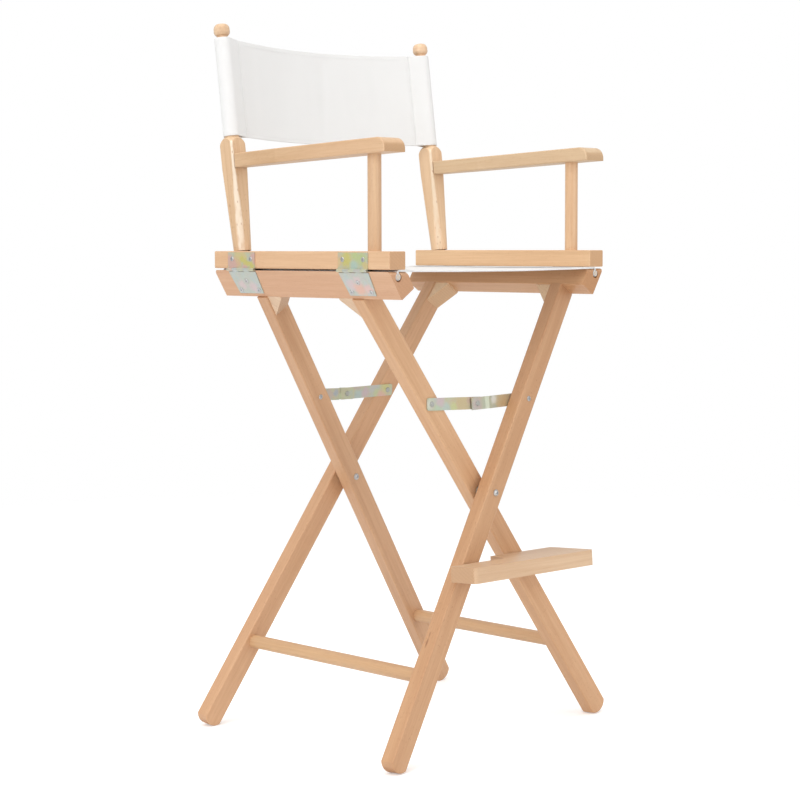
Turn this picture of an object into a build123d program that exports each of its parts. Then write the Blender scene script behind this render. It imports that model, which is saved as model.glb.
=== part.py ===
from build123d import *
import math
import os
from collections import namedtuple

# Bar-height folding director chair, standing open.  mm, +Z up, front of the chair -Y.
# Right is the sitter's right hand side (-X), left is +X.
# The parts are built with y = 0 under the middle of the seat rails, then moved by ORIGIN_Y
# so that the origin is the middle of the whole chair's box, on the floor.
# Outer frame: left lower rail, the two outer legs with their feet on the right, a stretcher.
# Inner frame: right lower rail, the two inner legs with their feet on the left, a stretcher.

ORIGIN_Y = 18.236

# Signs.  A frame's sign is the side its feet stand on, so its rail is on the other side.
RIGHT, LEFT = -1, 1
OUTER, INNER = RIGHT, LEFT
FRONT, REAR = -1, 1

# ---- dimensions shared by several sections ----------------------------------

# crossed legs; distances run along the leg from the scissor pivot
PIVOT_Z = 401.6
LEAN = math.radians(33.7)  # each frame's lean from vertical
SPLAY = math.radians(4.8)  # legs spread front and back inside their frame
LEG_W = 35.5
LEG_T = 25.0
LEG_MID_Y = 2.0  # middle of the four legs, front to back
OUTER_FACE_Y = 190.5  # outer faces of the legs at the pivot, from LEG_MID_Y
INNER_FACE_Y = 155.5
FACE_Y = {OUTER: OUTER_FACE_Y, INNER: INNER_FACE_Y}
LEG_TOP_DIST = 386.0  # pivot to the underside of the lower rail

# rails; x is given for the left side
RAIL_Y = 202.0  # half length of every rail
RAIL_OUT_X = 252.5  # outer side of both rails
LOW_TOP_Z = 757.3
LOW_PROFILE = [  # (x, z) of the lower rail's section
    (RAIL_OUT_X, LOW_TOP_Z), (226.0, 714.2), (199.6, 732.0), (214.5, LOW_TOP_Z),
]
UP_IN_X = 217.5
UP_Z0, UP_Z1 = 760.3, 788.0  # underside and top of the upper rail
RAIL_EDGE_R = 1.8
ROD_X, ROD_Z = 233.0, 749.4  # rod that holds the seat cloth
SLOT_W = 3.4

SIN_LEAN, COS_LEAN = math.sin(LEAN), math.cos(LEAN)
SIN_SPLAY, COS_SPLAY = math.sin(SPLAY), math.cos(SPLAY)

# ---- frames of reference ----------------------------------------------------

# lean: down the frame before splay; down: down the leg; across: over the leg's width,
# toward the side its foot stands on; out: square to the leg's outer face
LegDirs = namedtuple("LegDirs", "lean down across out")


def leg_dirs(frame, end):
    lean = Vector(frame * SIN_LEAN, 0, -COS_LEAN)
    down = lean * COS_SPLAY + Vector(0, end * SIN_SPLAY, 0)
    across = Vector(frame * COS_LEAN, 0, SIN_LEAN)
    out = Vector(0, end * COS_SPLAY, 0) - lean * SIN_SPLAY
    return LegDirs(lean, down, across, out)


def on_leg(frame, end, dist, across=0.0, depth=0.0):
    """Point on a leg: dist down from the pivot, depth in from the outer face."""
    dirs = leg_dirs(frame, end)
    start = Vector(0, LEG_MID_Y + end * FACE_Y[frame], PIVOT_Z)
    return start + dirs.down * dist + dirs.across * across - dirs.out * depth


def leg_dist_at(z):
    """Distance down a leg at which its faces reach height z."""
    return (PIVOT_Z - z) / (COS_LEAN * COS_SPLAY)


def rearward(x, y, z):
    """Upright plane across the chair that faces the rear."""
    return Plane(origin=(x, y, z), x_dir=(1, 0, 0), z_dir=(0, 1, 0))


# ---- lower rails ------------------------------------------------------------

GROOVE_X, GROOVE_Z, GROOVE_R = 232.5, 748.4, 6.9  # the pulled rod lies high in its groove
SLOT_H = 12.0
RAIL_END_R = 7.0
TENON_L = 16.0
TENON_W = 16.0
TENON_T = 12.0
TENON_SHIFT = 2.0  # toward the upper side of the leg
TENON_ROOT = 4.0  # start of the tenon inside the leg


def tenon_plane(frame, end):
    """Start of a tenon inside the leg; it runs up along the frame."""
    dirs = leg_dirs(frame, end)
    root = on_leg(frame, end, -(LEG_TOP_DIST - TENON_ROOT), TENON_SHIFT, LEG_T / 2)
    return Plane(origin=root, x_dir=dirs.across, z_dir=dirs.lean * -1)


def lower_rail(frame, cuts):
    side = -frame
    with BuildPart() as rail:
        with BuildSketch(Plane.XZ.offset(-RAIL_Y)):
            with BuildLine():
                Polyline(*[(side * x, z) for x, z in LOW_PROFILE], close=True)
            make_face()
        extrude(amount=2 * RAIL_Y)
        long_edges = [
            e for e in rail.edges() if e.length > 300 and e.center().Z < LOW_TOP_Z - 1
        ]
        fillet(long_edges, RAIL_EDGE_R)
        top_ends = rail.edges().filter_by(
            lambda e: abs(e.center().Z - LOW_TOP_Z) < 0.01
            and abs(abs(e.center().Y) - RAIL_Y) < 0.01
        )
        fillet(top_ends, RAIL_END_R)
        # keyhole groove for the seat rod, open at both ends
        with BuildSketch(Plane.XZ.offset(-RAIL_Y - 1)):
            with Locations((side * GROOVE_X, GROOVE_Z)):
                Circle(GROOVE_R)
            with Locations((side * ROD_X, ROD_Z + SLOT_H / 2)):
                Rectangle(SLOT_W, SLOT_H)
        extrude(amount=2 * RAIL_Y + 2, mode=Mode.SUBTRACT)
        for end in (FRONT, REAR):
            with BuildSketch(tenon_plane(frame, end)):
                Rectangle(TENON_W, TENON_T)
            extrude(amount=TENON_L + TENON_ROOT, mode=Mode.SUBTRACT)
        for cut in cuts:
            add(cut, mode=Mode.SUBTRACT)
    return rail.part


# ---- legs and stretchers ----------------------------------------------------

LEG_EDGE_R = 2.5
LEG_BLANK_TOP = 402.0  # pivot to the top of the blank, before the shoulder is cut
FOOT_SIDE_DIST = 469.02  # pivot to the corners of the rounded foot
FOOT_END_DIST = 478.07  # pivot to the tip of the rounded foot
SHOULDER_CUT = 160.0
BOLT_R = 4.0
BOLT_HOLE_R = 4.075
STRETCHER_R = 11.0
STRETCHER_DIST = 323.5
STRETCHER_IN = 14.0  # depth in the leg
STRETCHER_CHAMFER = 0.8


def stretcher(frame):
    ends_y = [
        on_leg(frame, end, STRETCHER_DIST, depth=LEG_T).Y + end * STRETCHER_IN
        for end in (FRONT, REAR)
    ]
    x = frame * SIN_LEAN * STRETCHER_DIST * COS_SPLAY
    z = PIVOT_Z - COS_LEAN * STRETCHER_DIST * COS_SPLAY
    with BuildPart() as rod:
        with BuildSketch(rearward(x, ends_y[0], z)):
            Circle(STRETCHER_R)
        extrude(amount=ends_y[1] - ends_y[0])
        chamfer(rod.faces().sort_by(Axis.Y)[0].edges(), STRETCHER_CHAMFER)
        chamfer(rod.faces().sort_by(Axis.Y)[-1].edges(), STRETCHER_CHAMFER)
    return rod.part


def leg(frame, end, cuts):
    """One leg with its rounded foot, tenon and pivot hole, cut for what enters it."""
    dirs = leg_dirs(frame, end)
    # the pivot line crosses the middle of the thickness
    middle = on_leg(frame, end, 0, depth=LEG_T / 2)
    half_w = LEG_W / 2
    flat = Plane(origin=middle, x_dir=dirs.across, z_dir=dirs.across.cross(dirs.down))
    shoulder = Plane(
        origin=Vector(0, middle.Y, PIVOT_Z) - dirs.lean * LEG_TOP_DIST,
        x_dir=dirs.across,
        z_dir=dirs.lean * -1,
    )
    with BuildPart() as body:
        with BuildSketch(flat):
            with BuildLine():
                Line((-half_w, -LEG_BLANK_TOP), (half_w, -LEG_BLANK_TOP))
                Line((half_w, -LEG_BLANK_TOP), (half_w, FOOT_SIDE_DIST))
                ThreePointArc(
                    (half_w, FOOT_SIDE_DIST), (0, FOOT_END_DIST), (-half_w, FOOT_SIDE_DIST)
                )
                Line((-half_w, FOOT_SIDE_DIST), (-half_w, -LEG_BLANK_TOP))
            make_face()
        extrude(amount=LEG_T / 2, both=True)
        fillet(
            body.edges().filter_by(lambda e: e.length > 600 or e.center().Z < 60), LEG_EDGE_R
        )
        # square shoulder against the rail, with a tenon
        with BuildSketch(shoulder):
            Rectangle(SHOULDER_CUT, SHOULDER_CUT)
        extrude(amount=60, mode=Mode.SUBTRACT)
        with BuildSketch(tenon_plane(frame, end)):
            Rectangle(TENON_W, TENON_T)
        extrude(amount=TENON_L + TENON_ROOT)
        # scissor pivot along Y
        with BuildSketch(rearward(0, middle.Y - 30, PIVOT_Z)):
            Circle(BOLT_HOLE_R)
        extrude(amount=60, mode=Mode.SUBTRACT)
        for cut in cuts:
            add(cut, mode=Mode.SUBTRACT)
    return body.part


# ---- corner blocks ----------------------------------------------------------

BLOCK_T = 30.0
BLOCK_REACH = 30.0  # along the rail
BLOCK_DROP = 37.0  # down the leg
BLOCK_LIP = 3.0  # height of the blunt tip at the rail
BLOCK_TOE = 3.0  # width of the blunt tip at the leg
BLOCK_OVERLAP = 1.0  # into the rail and leg, cut away again


def corner_blocks(frame, rail, legs):
    """Two triangular blocks between the legs, under the lower rail."""
    across = leg_dirs(frame, FRONT).across
    # local x = +Y; local y points up the frame on the inner frame and down it on the outer
    base = Plane(
        origin=Vector(0, LEG_MID_Y, PIVOT_Z) - across * (BLOCK_T / 2),
        x_dir=(0, 1, 0),
        z_dir=across,
    )
    toe_dist = LEG_TOP_DIST - BLOCK_DROP
    with BuildPart() as blocks:
        for end in (FRONT, REAR):
            top_y = on_leg(frame, end, -LEG_TOP_DIST, depth=LEG_T).Y - LEG_MID_Y
            toe_y = on_leg(frame, end, -toe_dist, depth=LEG_T).Y - LEG_MID_Y
            tip_y = top_y - end * BLOCK_REACH
            with BuildSketch(base):
                with BuildLine():
                    Polyline(
                        (top_y + end * BLOCK_OVERLAP, frame * (LEG_TOP_DIST + BLOCK_OVERLAP)),
                        (tip_y, frame * (LEG_TOP_DIST + BLOCK_OVERLAP)),
                        (tip_y, frame * (LEG_TOP_DIST - BLOCK_LIP)),
                        (toe_y, frame * toe_dist),
                        (toe_y + end * BLOCK_TOE, frame * toe_dist),
                        close=True,
                    )
                make_face()
            extrude(amount=BLOCK_T)
        add(rail, mode=Mode.SUBTRACT)
        for one_leg in legs:
            add(one_leg, mode=Mode.SUBTRACT)
    return blocks.part


# ---- scissor pivots: bolt, spacer and nut through each pair of crossing legs --

LEG_T_Y = LEG_T / COS_SPLAY  # leg thickness measured along Y
OUTER_LEG_IN_Y = OUTER_FACE_Y - LEG_T_Y  # inner face of an outer leg at the pivot
GAP_MID_Y = (OUTER_LEG_IN_Y + INNER_FACE_Y) / 2
SPACER_L = OUTER_LEG_IN_Y - INNER_FACE_Y - 1.9
SPACER_R = 9.5
HEAD_GAP = 0.5
NUT_GAP = 0.7
NUT_R = 7.4  # to the corners
NUT_T = 5.0
BOLT_PAST_NUT = 1.0
HEAD_R, HEAD_RIM, HEAD_H = 5.6, 0.6, 2.8
RECESS_L, RECESS_W = 5.0, 1.1

# (underside of the head, near face of the nut) along Y: the head sits on the front leg
# of each pair, the nut behind the rear one
BOLT_ENDS = [
    (LEG_MID_Y - OUTER_FACE_Y - HEAD_GAP, LEG_MID_Y - INNER_FACE_Y + LEG_T_Y + NUT_GAP),
    (LEG_MID_Y + INNER_FACE_Y - LEG_T_Y - HEAD_GAP, LEG_MID_Y + OUTER_FACE_Y + NUT_GAP),
]


def pivot_spacers():
    with BuildPart() as spacers:
        for end in (FRONT, REAR):
            with BuildSketch(rearward(0, LEG_MID_Y + end * GAP_MID_Y - SPACER_L / 2, PIVOT_Z)):
                Circle(SPACER_R)
                Circle(BOLT_R, mode=Mode.SUBTRACT)
            extrude(amount=SPACER_L)
    return spacers.part


def pivot_bolts():
    with BuildPart() as bolts:
        for head_y, nut_y in BOLT_ENDS:
            with BuildSketch(rearward(0, head_y, PIVOT_Z)):
                Circle(BOLT_R)
            extrude(amount=nut_y - head_y + NUT_T + BOLT_PAST_NUT)
            # domed head
            rim = (head_y - HEAD_RIM, PIVOT_Z + HEAD_R)
            crown = (head_y - HEAD_H, PIVOT_Z)
            with BuildSketch(Plane.YZ):
                with BuildLine():
                    Line((head_y, PIVOT_Z), (head_y, PIVOT_Z + HEAD_R))
                    Line((head_y, PIVOT_Z + HEAD_R), rim)
                    ThreePointArc(rim, (head_y - 2.2, PIVOT_Z + 3.6), crown)
                    Line(crown, (head_y, PIVOT_Z))
                make_face()
            revolve(axis=Axis((0, 0, PIVOT_Z), (0, 1, 0)))
            # cross recess
            with BuildSketch(rearward(0, head_y - HEAD_H - 0.4, PIVOT_Z)):
                Rectangle(RECESS_L, RECESS_W)
                Rectangle(RECESS_W, RECESS_L)
            extrude(amount=1.8, mode=Mode.SUBTRACT)
    return bolts.part


def pivot_nuts():
    with BuildPart() as nuts:
        for _, nut_y in BOLT_ENDS:
            with BuildSketch(rearward(0, nut_y, PIVOT_Z)):
                RegularPolygon(NUT_R, 6)
                Circle(BOLT_R, mode=Mode.SUBTRACT)
            extrude(amount=NUT_T)
    return nuts.part


# ---- seat: two rods and a cloth with a hemmed tube at each side ---------------

ROD_R = 3.7
ROD_HALF_L = RAIL_Y - 0.5
HEM_R, HEM_BORE_R = 5.6, 3.8
NECK_W = SLOT_W - 0.8  # cloth standing in the rail's slot
SEAT_T = 1.2
SEAT_Z0 = 757.6  # underside
SEAT_HALF_L = RAIL_Y - 1


def seat_rod(side):
    with BuildPart() as rod:
        with BuildSketch(Plane.XZ.offset(-ROD_HALF_L)):
            with Locations((side * ROD_X, ROD_Z)):
                Circle(ROD_R)
        extrude(amount=2 * ROD_HALF_L)
    return rod.part


def seat_canvas():
    top_z = SEAT_Z0 + SEAT_T
    with BuildPart() as cloth:
        with BuildSketch(Plane.XZ.offset(-SEAT_HALF_L)):
            with Locations((0, SEAT_Z0 + SEAT_T / 2)):
                Rectangle(2 * ROD_X + NECK_W, SEAT_T)
            for side in (RIGHT, LEFT):
                with Locations((side * ROD_X, (ROD_Z + top_z) / 2)):
                    Rectangle(NECK_W, top_z - ROD_Z)
                with Locations((side * ROD_X, ROD_Z)):
                    Circle(HEM_R)
            for side in (RIGHT, LEFT):
                with Locations((side * ROD_X, ROD_Z)):
                    Circle(HEM_BORE_R, mode=Mode.SUBTRACT)
        extrude(amount=2 * SEAT_HALF_L)
    return cloth.part


# ---- back posts -------------------------------------------------------------

POST_X = 231.7
POST_Y = 155.5  # at the top of the upper rail
POST_LEAN = math.radians(7.55)  # rearward
BLANK_FOOT_W, BLANK_TOP_W, BLANK_EDGE_R = 29.0, 31.0, 3.0  # the square blank
BLANK_L = 186.0
DOWEL_R = 12.0
DOWEL_Z0 = 175.0  # start of the dowel inside the turned blank, along the post
SPIGOT_R, SPIGOT_IN, SPIGOT_L = 9.0, 18.0, 22.0


def post_plane(side, height):
    """Plane square to a back post, height up its axis from the top of the upper rail."""
    up = Vector(0, math.sin(POST_LEAN), math.cos(POST_LEAN))
    origin = Vector(side * POST_X, POST_Y, UP_Z1) + up * height
    return Plane(origin=origin, x_dir=(1, 0, 0), z_dir=up)


def back_post(side):
    """Square blank turned round at both ends, then a dowel and a ball at the top."""
    foot = post_plane(side, 0)
    profile_plane = Plane(origin=foot.origin, x_dir=(1, 0, 0), z_dir=foot.y_dir * -1)
    post_axis = Axis(foot.origin, foot.z_dir)
    with BuildPart() as post:
        with BuildSketch(foot):
            RectangleRounded(BLANK_FOOT_W, BLANK_FOOT_W, BLANK_EDGE_R)
        with BuildSketch(post_plane(side, BLANK_L)):
            RectangleRounded(BLANK_TOP_W, BLANK_TOP_W, BLANK_EDGE_R)
        loft(ruled=True)
        # turned outline; points of both profiles are (radius, height along the post)
        with BuildSketch(profile_plane):
            with BuildLine():
                Polyline((0, 0), (14.2, 0), (20.9, 150), (20.9, 166))
                ThreePointArc((20.9, 166), (18.8, 178.0), (12.7, 185.2))
                Polyline((12.7, 185.2), (0, 185.2), (0, 0))
            make_face()
        revolve(axis=post_axis, mode=Mode.INTERSECT)
        # dowel inside the cloth, neck and ball
        with BuildSketch(profile_plane):
            with BuildLine():
                Polyline(
                    (0, DOWEL_Z0), (DOWEL_R, DOWEL_Z0), (DOWEL_R, 347.5),
                    (8.6, 349.0), (8.6, 351.0), (9.2, 351.6),
                )
                ThreePointArc((9.2, 351.6), (12.6, 355.4), (12.9, 360.5))
                ThreePointArc((12.9, 360.5), (12.2, 366.2), (8.6, 370.3))
                Polyline((8.6, 370.3), (5.0, 371.2), (0.8, 371.4), (0, 371.4), (0, DOWEL_Z0))
            make_face()
        revolve(axis=post_axis)
        # spigot in the upper rail
        with BuildSketch(post_plane(side, -SPIGOT_IN)):
            Circle(SPIGOT_R)
        extrude(amount=SPIGOT_L)
    return post.part


# ---- front posts, armrests and upper rails ----------------------------------

FRONT_POST_Y = -150.0
FRONT_POST_R = 10.6
FRONT_POST_IN = 14.0  # depth in the upper rail
FRONT_POST_BELOW = 11.0  # its top, below the top of the armrest
ARM_T = 22.5
ARM_REAR_Y, ARM_FRONT_Y = 159.0, -197.5
ARM_REAR_TOP, ARM_FRONT_TOP = 945.5, 958.6
ARM_SLOPE = (ARM_FRONT_TOP - ARM_REAR_TOP) / (ARM_REAR_Y - ARM_FRONT_Y)  # rise to the front
ARM_NOSE_R = 18.0
ARM_EDGE_R = 2.2
ARM_BLANK_X = {LEFT: 200, RIGHT: -265}  # lowest x of the blank
ARM_BLANK_W = 65
ARM_PLAN = [  # (x, y) of the plan outline on the left side
    (212.5, ARM_FRONT_Y - 1),
    (258.6, ARM_FRONT_Y - 1),
    (254.2, 50),
    (244.8, ARM_REAR_Y + 5),
    (219.2, ARM_REAR_Y + 5),
]


def front_post(side):
    foot_z = UP_Z1 - FRONT_POST_IN
    arm_top = ARM_REAR_TOP + ARM_SLOPE * (ARM_REAR_Y - FRONT_POST_Y)
    foot = Plane(origin=(side * POST_X, FRONT_POST_Y, foot_z), x_dir=(1, 0, 0), z_dir=(0, 0, 1))
    with BuildPart() as post:
        with BuildSketch(foot):
            Circle(FRONT_POST_R)
        extrude(amount=arm_top - FRONT_POST_BELOW - foot_z)
    return post.part


def armrest(side, posts):
    nose_top = (ARM_FRONT_Y + ARM_NOSE_R, ARM_FRONT_TOP - ARM_SLOPE * ARM_NOSE_R)
    nose_low = (ARM_FRONT_Y, ARM_FRONT_TOP - ARM_NOSE_R)
    nose_inset = ARM_NOSE_R * (1 - math.sqrt(0.5))
    with BuildPart() as arm:
        # side view, then trimmed to the plan outline
        with BuildSketch(Plane.YZ.offset(ARM_BLANK_X[side])):
            with BuildLine():
                Polyline(
                    nose_top,
                    (ARM_REAR_Y, ARM_REAR_TOP),
                    (ARM_REAR_Y - math.tan(POST_LEAN) * ARM_T, ARM_REAR_TOP - ARM_T),
                    (ARM_FRONT_Y, ARM_FRONT_TOP - ARM_T),
                    nose_low,
                )
                ThreePointArc(
                    nose_low,
                    (ARM_FRONT_Y + nose_inset, ARM_FRONT_TOP - nose_inset),
                    nose_top,
                )
            make_face()
        extrude(amount=ARM_BLANK_W)
        with BuildSketch(Plane.XY.offset(900)):
            with BuildLine():
                Polyline(*[(side * x, y) for x, y in ARM_PLAN], close=True)
            make_face()
        extrude(amount=100, mode=Mode.INTERSECT)
        fillet(
            arm.edges().filter_by(lambda e: e.length > 60 and abs(e.center().Y) < 130),
            ARM_EDGE_R,
        )
        for post in posts:
            add(post, mode=Mode.SUBTRACT)
    return arm.part


def upper_rail(side, cuts):
    with BuildPart() as rail:
        with Locations((side * (UP_IN_X + RAIL_OUT_X) / 2, 0, (UP_Z0 + UP_Z1) / 2)):
            Box(RAIL_OUT_X - UP_IN_X, 2 * RAIL_Y, UP_Z1 - UP_Z0)
        fillet(rail.edges(), RAIL_EDGE_R)
        for cut in cuts:
            add(cut, mode=Mode.SUBTRACT)
    return rail.part


# ---- back cloth: a sleeve on each post and a panel that bows backward ---------

CLOTH_LOW, CLOTH_TOP = 188.0, 347.0  # heights along the posts
CLOTH_T = 1.6
SLEEVE_R, SLEEVE_BORE_R = 13.4, 12.3
CLOTH_SAG = 40.0
BOW_STEPS = 14  # on each half
REAR_LAYER = [  # (x, y) of the sleeve's folded-back layer, left side, y from the post axis
    (POST_X, SLEEVE_R), (POST_X - 3, 13.2), (198.5, 0.0),
    (199.5, -4.2), (212, -4.5), (POST_X, 11.0),
]


def back_canvas():
    bow = [
        (POST_X * i / BOW_STEPS, -SLEEVE_R + CLOTH_SAG * (1 - (i / BOW_STEPS) ** 2))
        for i in range(-BOW_STEPS, BOW_STEPS + 1)
    ]
    outline = bow + [(x, y + CLOTH_T) for x, y in bow[::-1]]
    with BuildPart() as cloth:
        with BuildSketch(post_plane(0, CLOTH_LOW)):
            with BuildLine():
                Polyline(*outline, close=True)
            make_face()
            for side in (RIGHT, LEFT):
                with Locations((side * POST_X, 0)):
                    Circle(SLEEVE_R)
                with BuildLine():
                    Polyline(*[(side * x, y) for x, y in REAR_LAYER], close=True)
                make_face()
            for side in (RIGHT, LEFT):
                with Locations((side * POST_X, 0)):
                    Circle(SLEEVE_BORE_R, mode=Mode.SUBTRACT)
        extrude(amount=CLOTH_TOP - CLOTH_LOW)
    return cloth.part


# ---- hinges between lower and upper rails -----------------------------------

HINGE_Y = [-124.6, 133.5]
HINGE_W = 65.0
LEAF_T = 1.4
PIN_X, PIN_Z, PIN_R = RAIL_OUT_X + 2.85, 758.75, 1.3
PIN_PLAY = 0.06  # in the lower leaves
PIN_PROUD = 0.4
KNUCKLE_R = 2.6
KNUCKLES = 5
KNUCKLE_GAP = 0.3
SCREW_R = 1.7
SCREW_IN = 5.8
SCREW_HEAD_R = 3.9
SCREW_RIM = 0.5
SCREW_SLOT_L, SCREW_SLOT_W = 3.8, 0.8

# (along Y from the hinge's middle, away from the pin)
SCREWS_UP = [(-22.5, 16.8), (22.5, 16.8)]
SCREWS_LOW = [(-1.0, 19.0), (-21.4, 36.5), (21.4, 36.5)]

LOW_CORNER = Vector(RAIL_OUT_X, 0, LOW_TOP_Z)
# down the left lower rail's outer face, and square out of it
LOW_DIR = (Vector(LOW_PROFILE[1][0], 0, LOW_PROFILE[1][1]) - LOW_CORNER).normalized()
LOW_NORMAL = Vector(-LOW_DIR.Z, 0, LOW_DIR.X)


def low_face_point(down, out):
    point = LOW_CORNER + LOW_DIR * down + LOW_NORMAL * out
    return point.X, point.Z


# (x, z) of the tabs that join the leaves to their knuckles, left side
TAB_UP = [
    (RAIL_OUT_X + 0.15, PIN_Z),
    (RAIL_OUT_X + 0.15, PIN_Z + 3.2),
    (RAIL_OUT_X + LEAF_T, PIN_Z + 3.2),
    (PIN_X, PIN_Z + 2.2),
    (PIN_X, PIN_Z),
]
TAB_ROOT_X, TAB_ROOT_Z = low_face_point(0.2, 0.05)
TAB_LOW = [
    low_face_point(2.4, 0.05),
    low_face_point(2.4, LEAF_T),
    (PIN_X + 1.9, PIN_Z - 1.6),
    (PIN_X, PIN_Z),
    (TAB_ROOT_X + 0.3, TAB_ROOT_Z + 0.2),
    (TAB_ROOT_X, TAB_ROOT_Z),
]


def hinge_face(side, y, upper):
    """Origin on a rail's outer face, direction away from the pin, outward normal."""
    if upper:
        return Vector(side * RAIL_OUT_X, y, PIN_Z), Vector(0, 0, 1), Vector(side, 0, 0)
    return (
        Vector(side * RAIL_OUT_X, y, LOW_TOP_Z),
        Vector(side * LOW_DIR.X, 0, LOW_DIR.Z),
        Vector(side * LOW_NORMAL.X, 0, LOW_NORMAL.Z),
    )


def screw_places(side, y, upper):
    """(point on the rail's face, outward normal) of each screw of one leaf."""
    origin, away, normal = hinge_face(side, y, upper)
    return [
        (origin + Vector(0, along, 0) + away * off, normal)
        for along, off in (SCREWS_UP if upper else SCREWS_LOW)
    ]


def knuckle_spans(upper):
    """Start and end along Y of one leaf's knuckles, from the hinge's middle."""
    pitch = HINGE_W / KNUCKLES
    for i in range(KNUCKLES):
        if (i % 2 == 0) == upper:
            start = -HINGE_W / 2 + i * pitch
            gap_before = KNUCKLE_GAP / 2 if i else 0
            gap_after = KNUCKLE_GAP / 2 if i < KNUCKLES - 1 else 0
            yield start + gap_before, start + pitch - gap_after


def hinge_screws(side, upper):
    with BuildPart() as screws:
        for at, normal in [place for y in HINGE_Y for place in screw_places(side, y, upper)]:
            with BuildSketch(Plane(origin=at - normal * SCREW_IN, z_dir=normal)):
                Circle(SCREW_R)
            extrude(amount=SCREW_IN + LEAF_T + 0.1)
            head = Plane(origin=at + normal * LEAF_T, z_dir=normal)
            with BuildSketch(head):
                Circle(SCREW_HEAD_R)
            extrude(amount=SCREW_RIM)
            with BuildSketch(head.offset(SCREW_RIM)):
                Circle(SCREW_HEAD_R)
            extrude(amount=0.7, taper=48)
            # cross recess
            with BuildSketch(head.offset(0.45)):
                Rectangle(SCREW_SLOT_L, SCREW_SLOT_W)
                Rectangle(SCREW_SLOT_W, SCREW_SLOT_L)
            extrude(amount=1.2, mode=Mode.SUBTRACT)
    return screws.part


def hinge_leaves(side, upper):
    near_w = HINGE_W / 2  # half widths
    if upper:
        near, far, far_w = 2.7, 27.4, near_w  # near and far edges, from the face's origin
        tab, bore_r, away = TAB_UP, PIN_R, side
    else:
        near, far, far_w = 1.6, 43.0, near_w - 4.0
        tab, bore_r, away = TAB_LOW, PIN_R + PIN_PLAY, -side
    # away: sign of local y that leads away from the pin
    with BuildPart() as leaves:
        for y in HINGE_Y:
            origin, _, normal = hinge_face(side, y, upper)
            with BuildSketch(Plane(origin=origin, x_dir=Vector(0, 1, 0), z_dir=normal)):
                with BuildLine():
                    Polyline(
                        (-near_w, away * near),
                        (near_w, away * near),
                        (far_w, away * far),
                        (-far_w, away * far),
                        close=True,
                    )
                make_face()
            extrude(amount=LEAF_T)
            # tabs and knuckles
            for start, stop in knuckle_spans(upper):
                tab_plane = Plane(origin=(0, y + start, 0), x_dir=(1, 0, 0), z_dir=(0, -1, 0))
                with BuildSketch(tab_plane):
                    with BuildLine():
                        Polyline(*[(side * x, z) for x, z in tab], close=True)
                    make_face()
                extrude(amount=-(stop - start))
                with BuildSketch(rearward(side * PIN_X, y + start, PIN_Z)):
                    Circle(KNUCKLE_R)
                extrude(amount=stop - start)
            with BuildSketch(rearward(side * PIN_X, y - HINGE_W / 2 - 1, PIN_Z)):
                Circle(bore_r)
            extrude(amount=HINGE_W + 2, mode=Mode.SUBTRACT)
            for at, _ in screw_places(side, y, upper):
                with BuildSketch(Plane(origin=at - normal * 1, z_dir=normal)):
                    Circle(SCREW_R)
                extrude(amount=6, mode=Mode.SUBTRACT)
    return leaves.part


def hinge_pins(side):
    with BuildPart() as pins:
        for y in HINGE_Y:
            with BuildSketch(rearward(side * PIN_X, y - HINGE_W / 2 - PIN_PROUD, PIN_Z)):
                Circle(PIN_R)
            extrude(amount=HINGE_W + 2 * PIN_PROUD)
    return pins.part


# ---- folding stays ----------------------------------------------------------
# Each stay: a long link on the rear leg of its pair, a joggled short link on the front leg.

STAY_DIST = 175.0  # pivot up to the leg rivets
STAY_T = 1.6
STAY_H = 20.0
STAY_END_R = 4.0
STAY_JOINT_X = 1.0  # middle rivet, off the chair's middle
STAY_JOINT_Z = PIVOT_Z + STAY_DIST * COS_LEAN * COS_SPLAY - 3.2
STAY_GAP = 0.3  # link to leg
STAY_LAP = 2.0  # long link to the lap plane of the short one
LINK_END = 11.0  # short link beyond its leg rivet
LONG_LINK_OVER = 23.0  # long link beyond both rivets together
RIVET_R, RIVET_HOLE_R = 2.5, 2.55
RIVET_PLAY = 0.15
RIVET_IN = 14.0
HEAD_EDGE = 0.5  # straight part of every head
DOME_H = 0.8
LEG_RIVET_HEAD_R, MID_RIVET_HEAD_R = 4.6, 4.4
STAY_SCREW_HEAD_R, STAY_SCREW_BACK_R = 4.3, 4.2
STAY_SLOT_L, STAY_SLOT_W = 4.2, 0.9


def link_plane(frame, end):
    """Plane flat on a leg, facing forward, x toward the joint, and the distance to it."""
    depth = LEG_T if frame == OUTER else 0  # the faces inside each crossing pair
    anchor = on_leg(frame, end, -STAY_DIST, depth=depth)
    normal = leg_dirs(frame, end).out * -end
    run_x = -end * STAY_JOINT_X - anchor.X
    run_z = STAY_JOINT_Z - anchor.Z
    run = Vector(run_x, -(normal.X * run_x + normal.Z * run_z) / normal.Y, run_z)
    return Plane(origin=anchor, x_dir=run.normalized(), z_dir=normal), run.length


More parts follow.
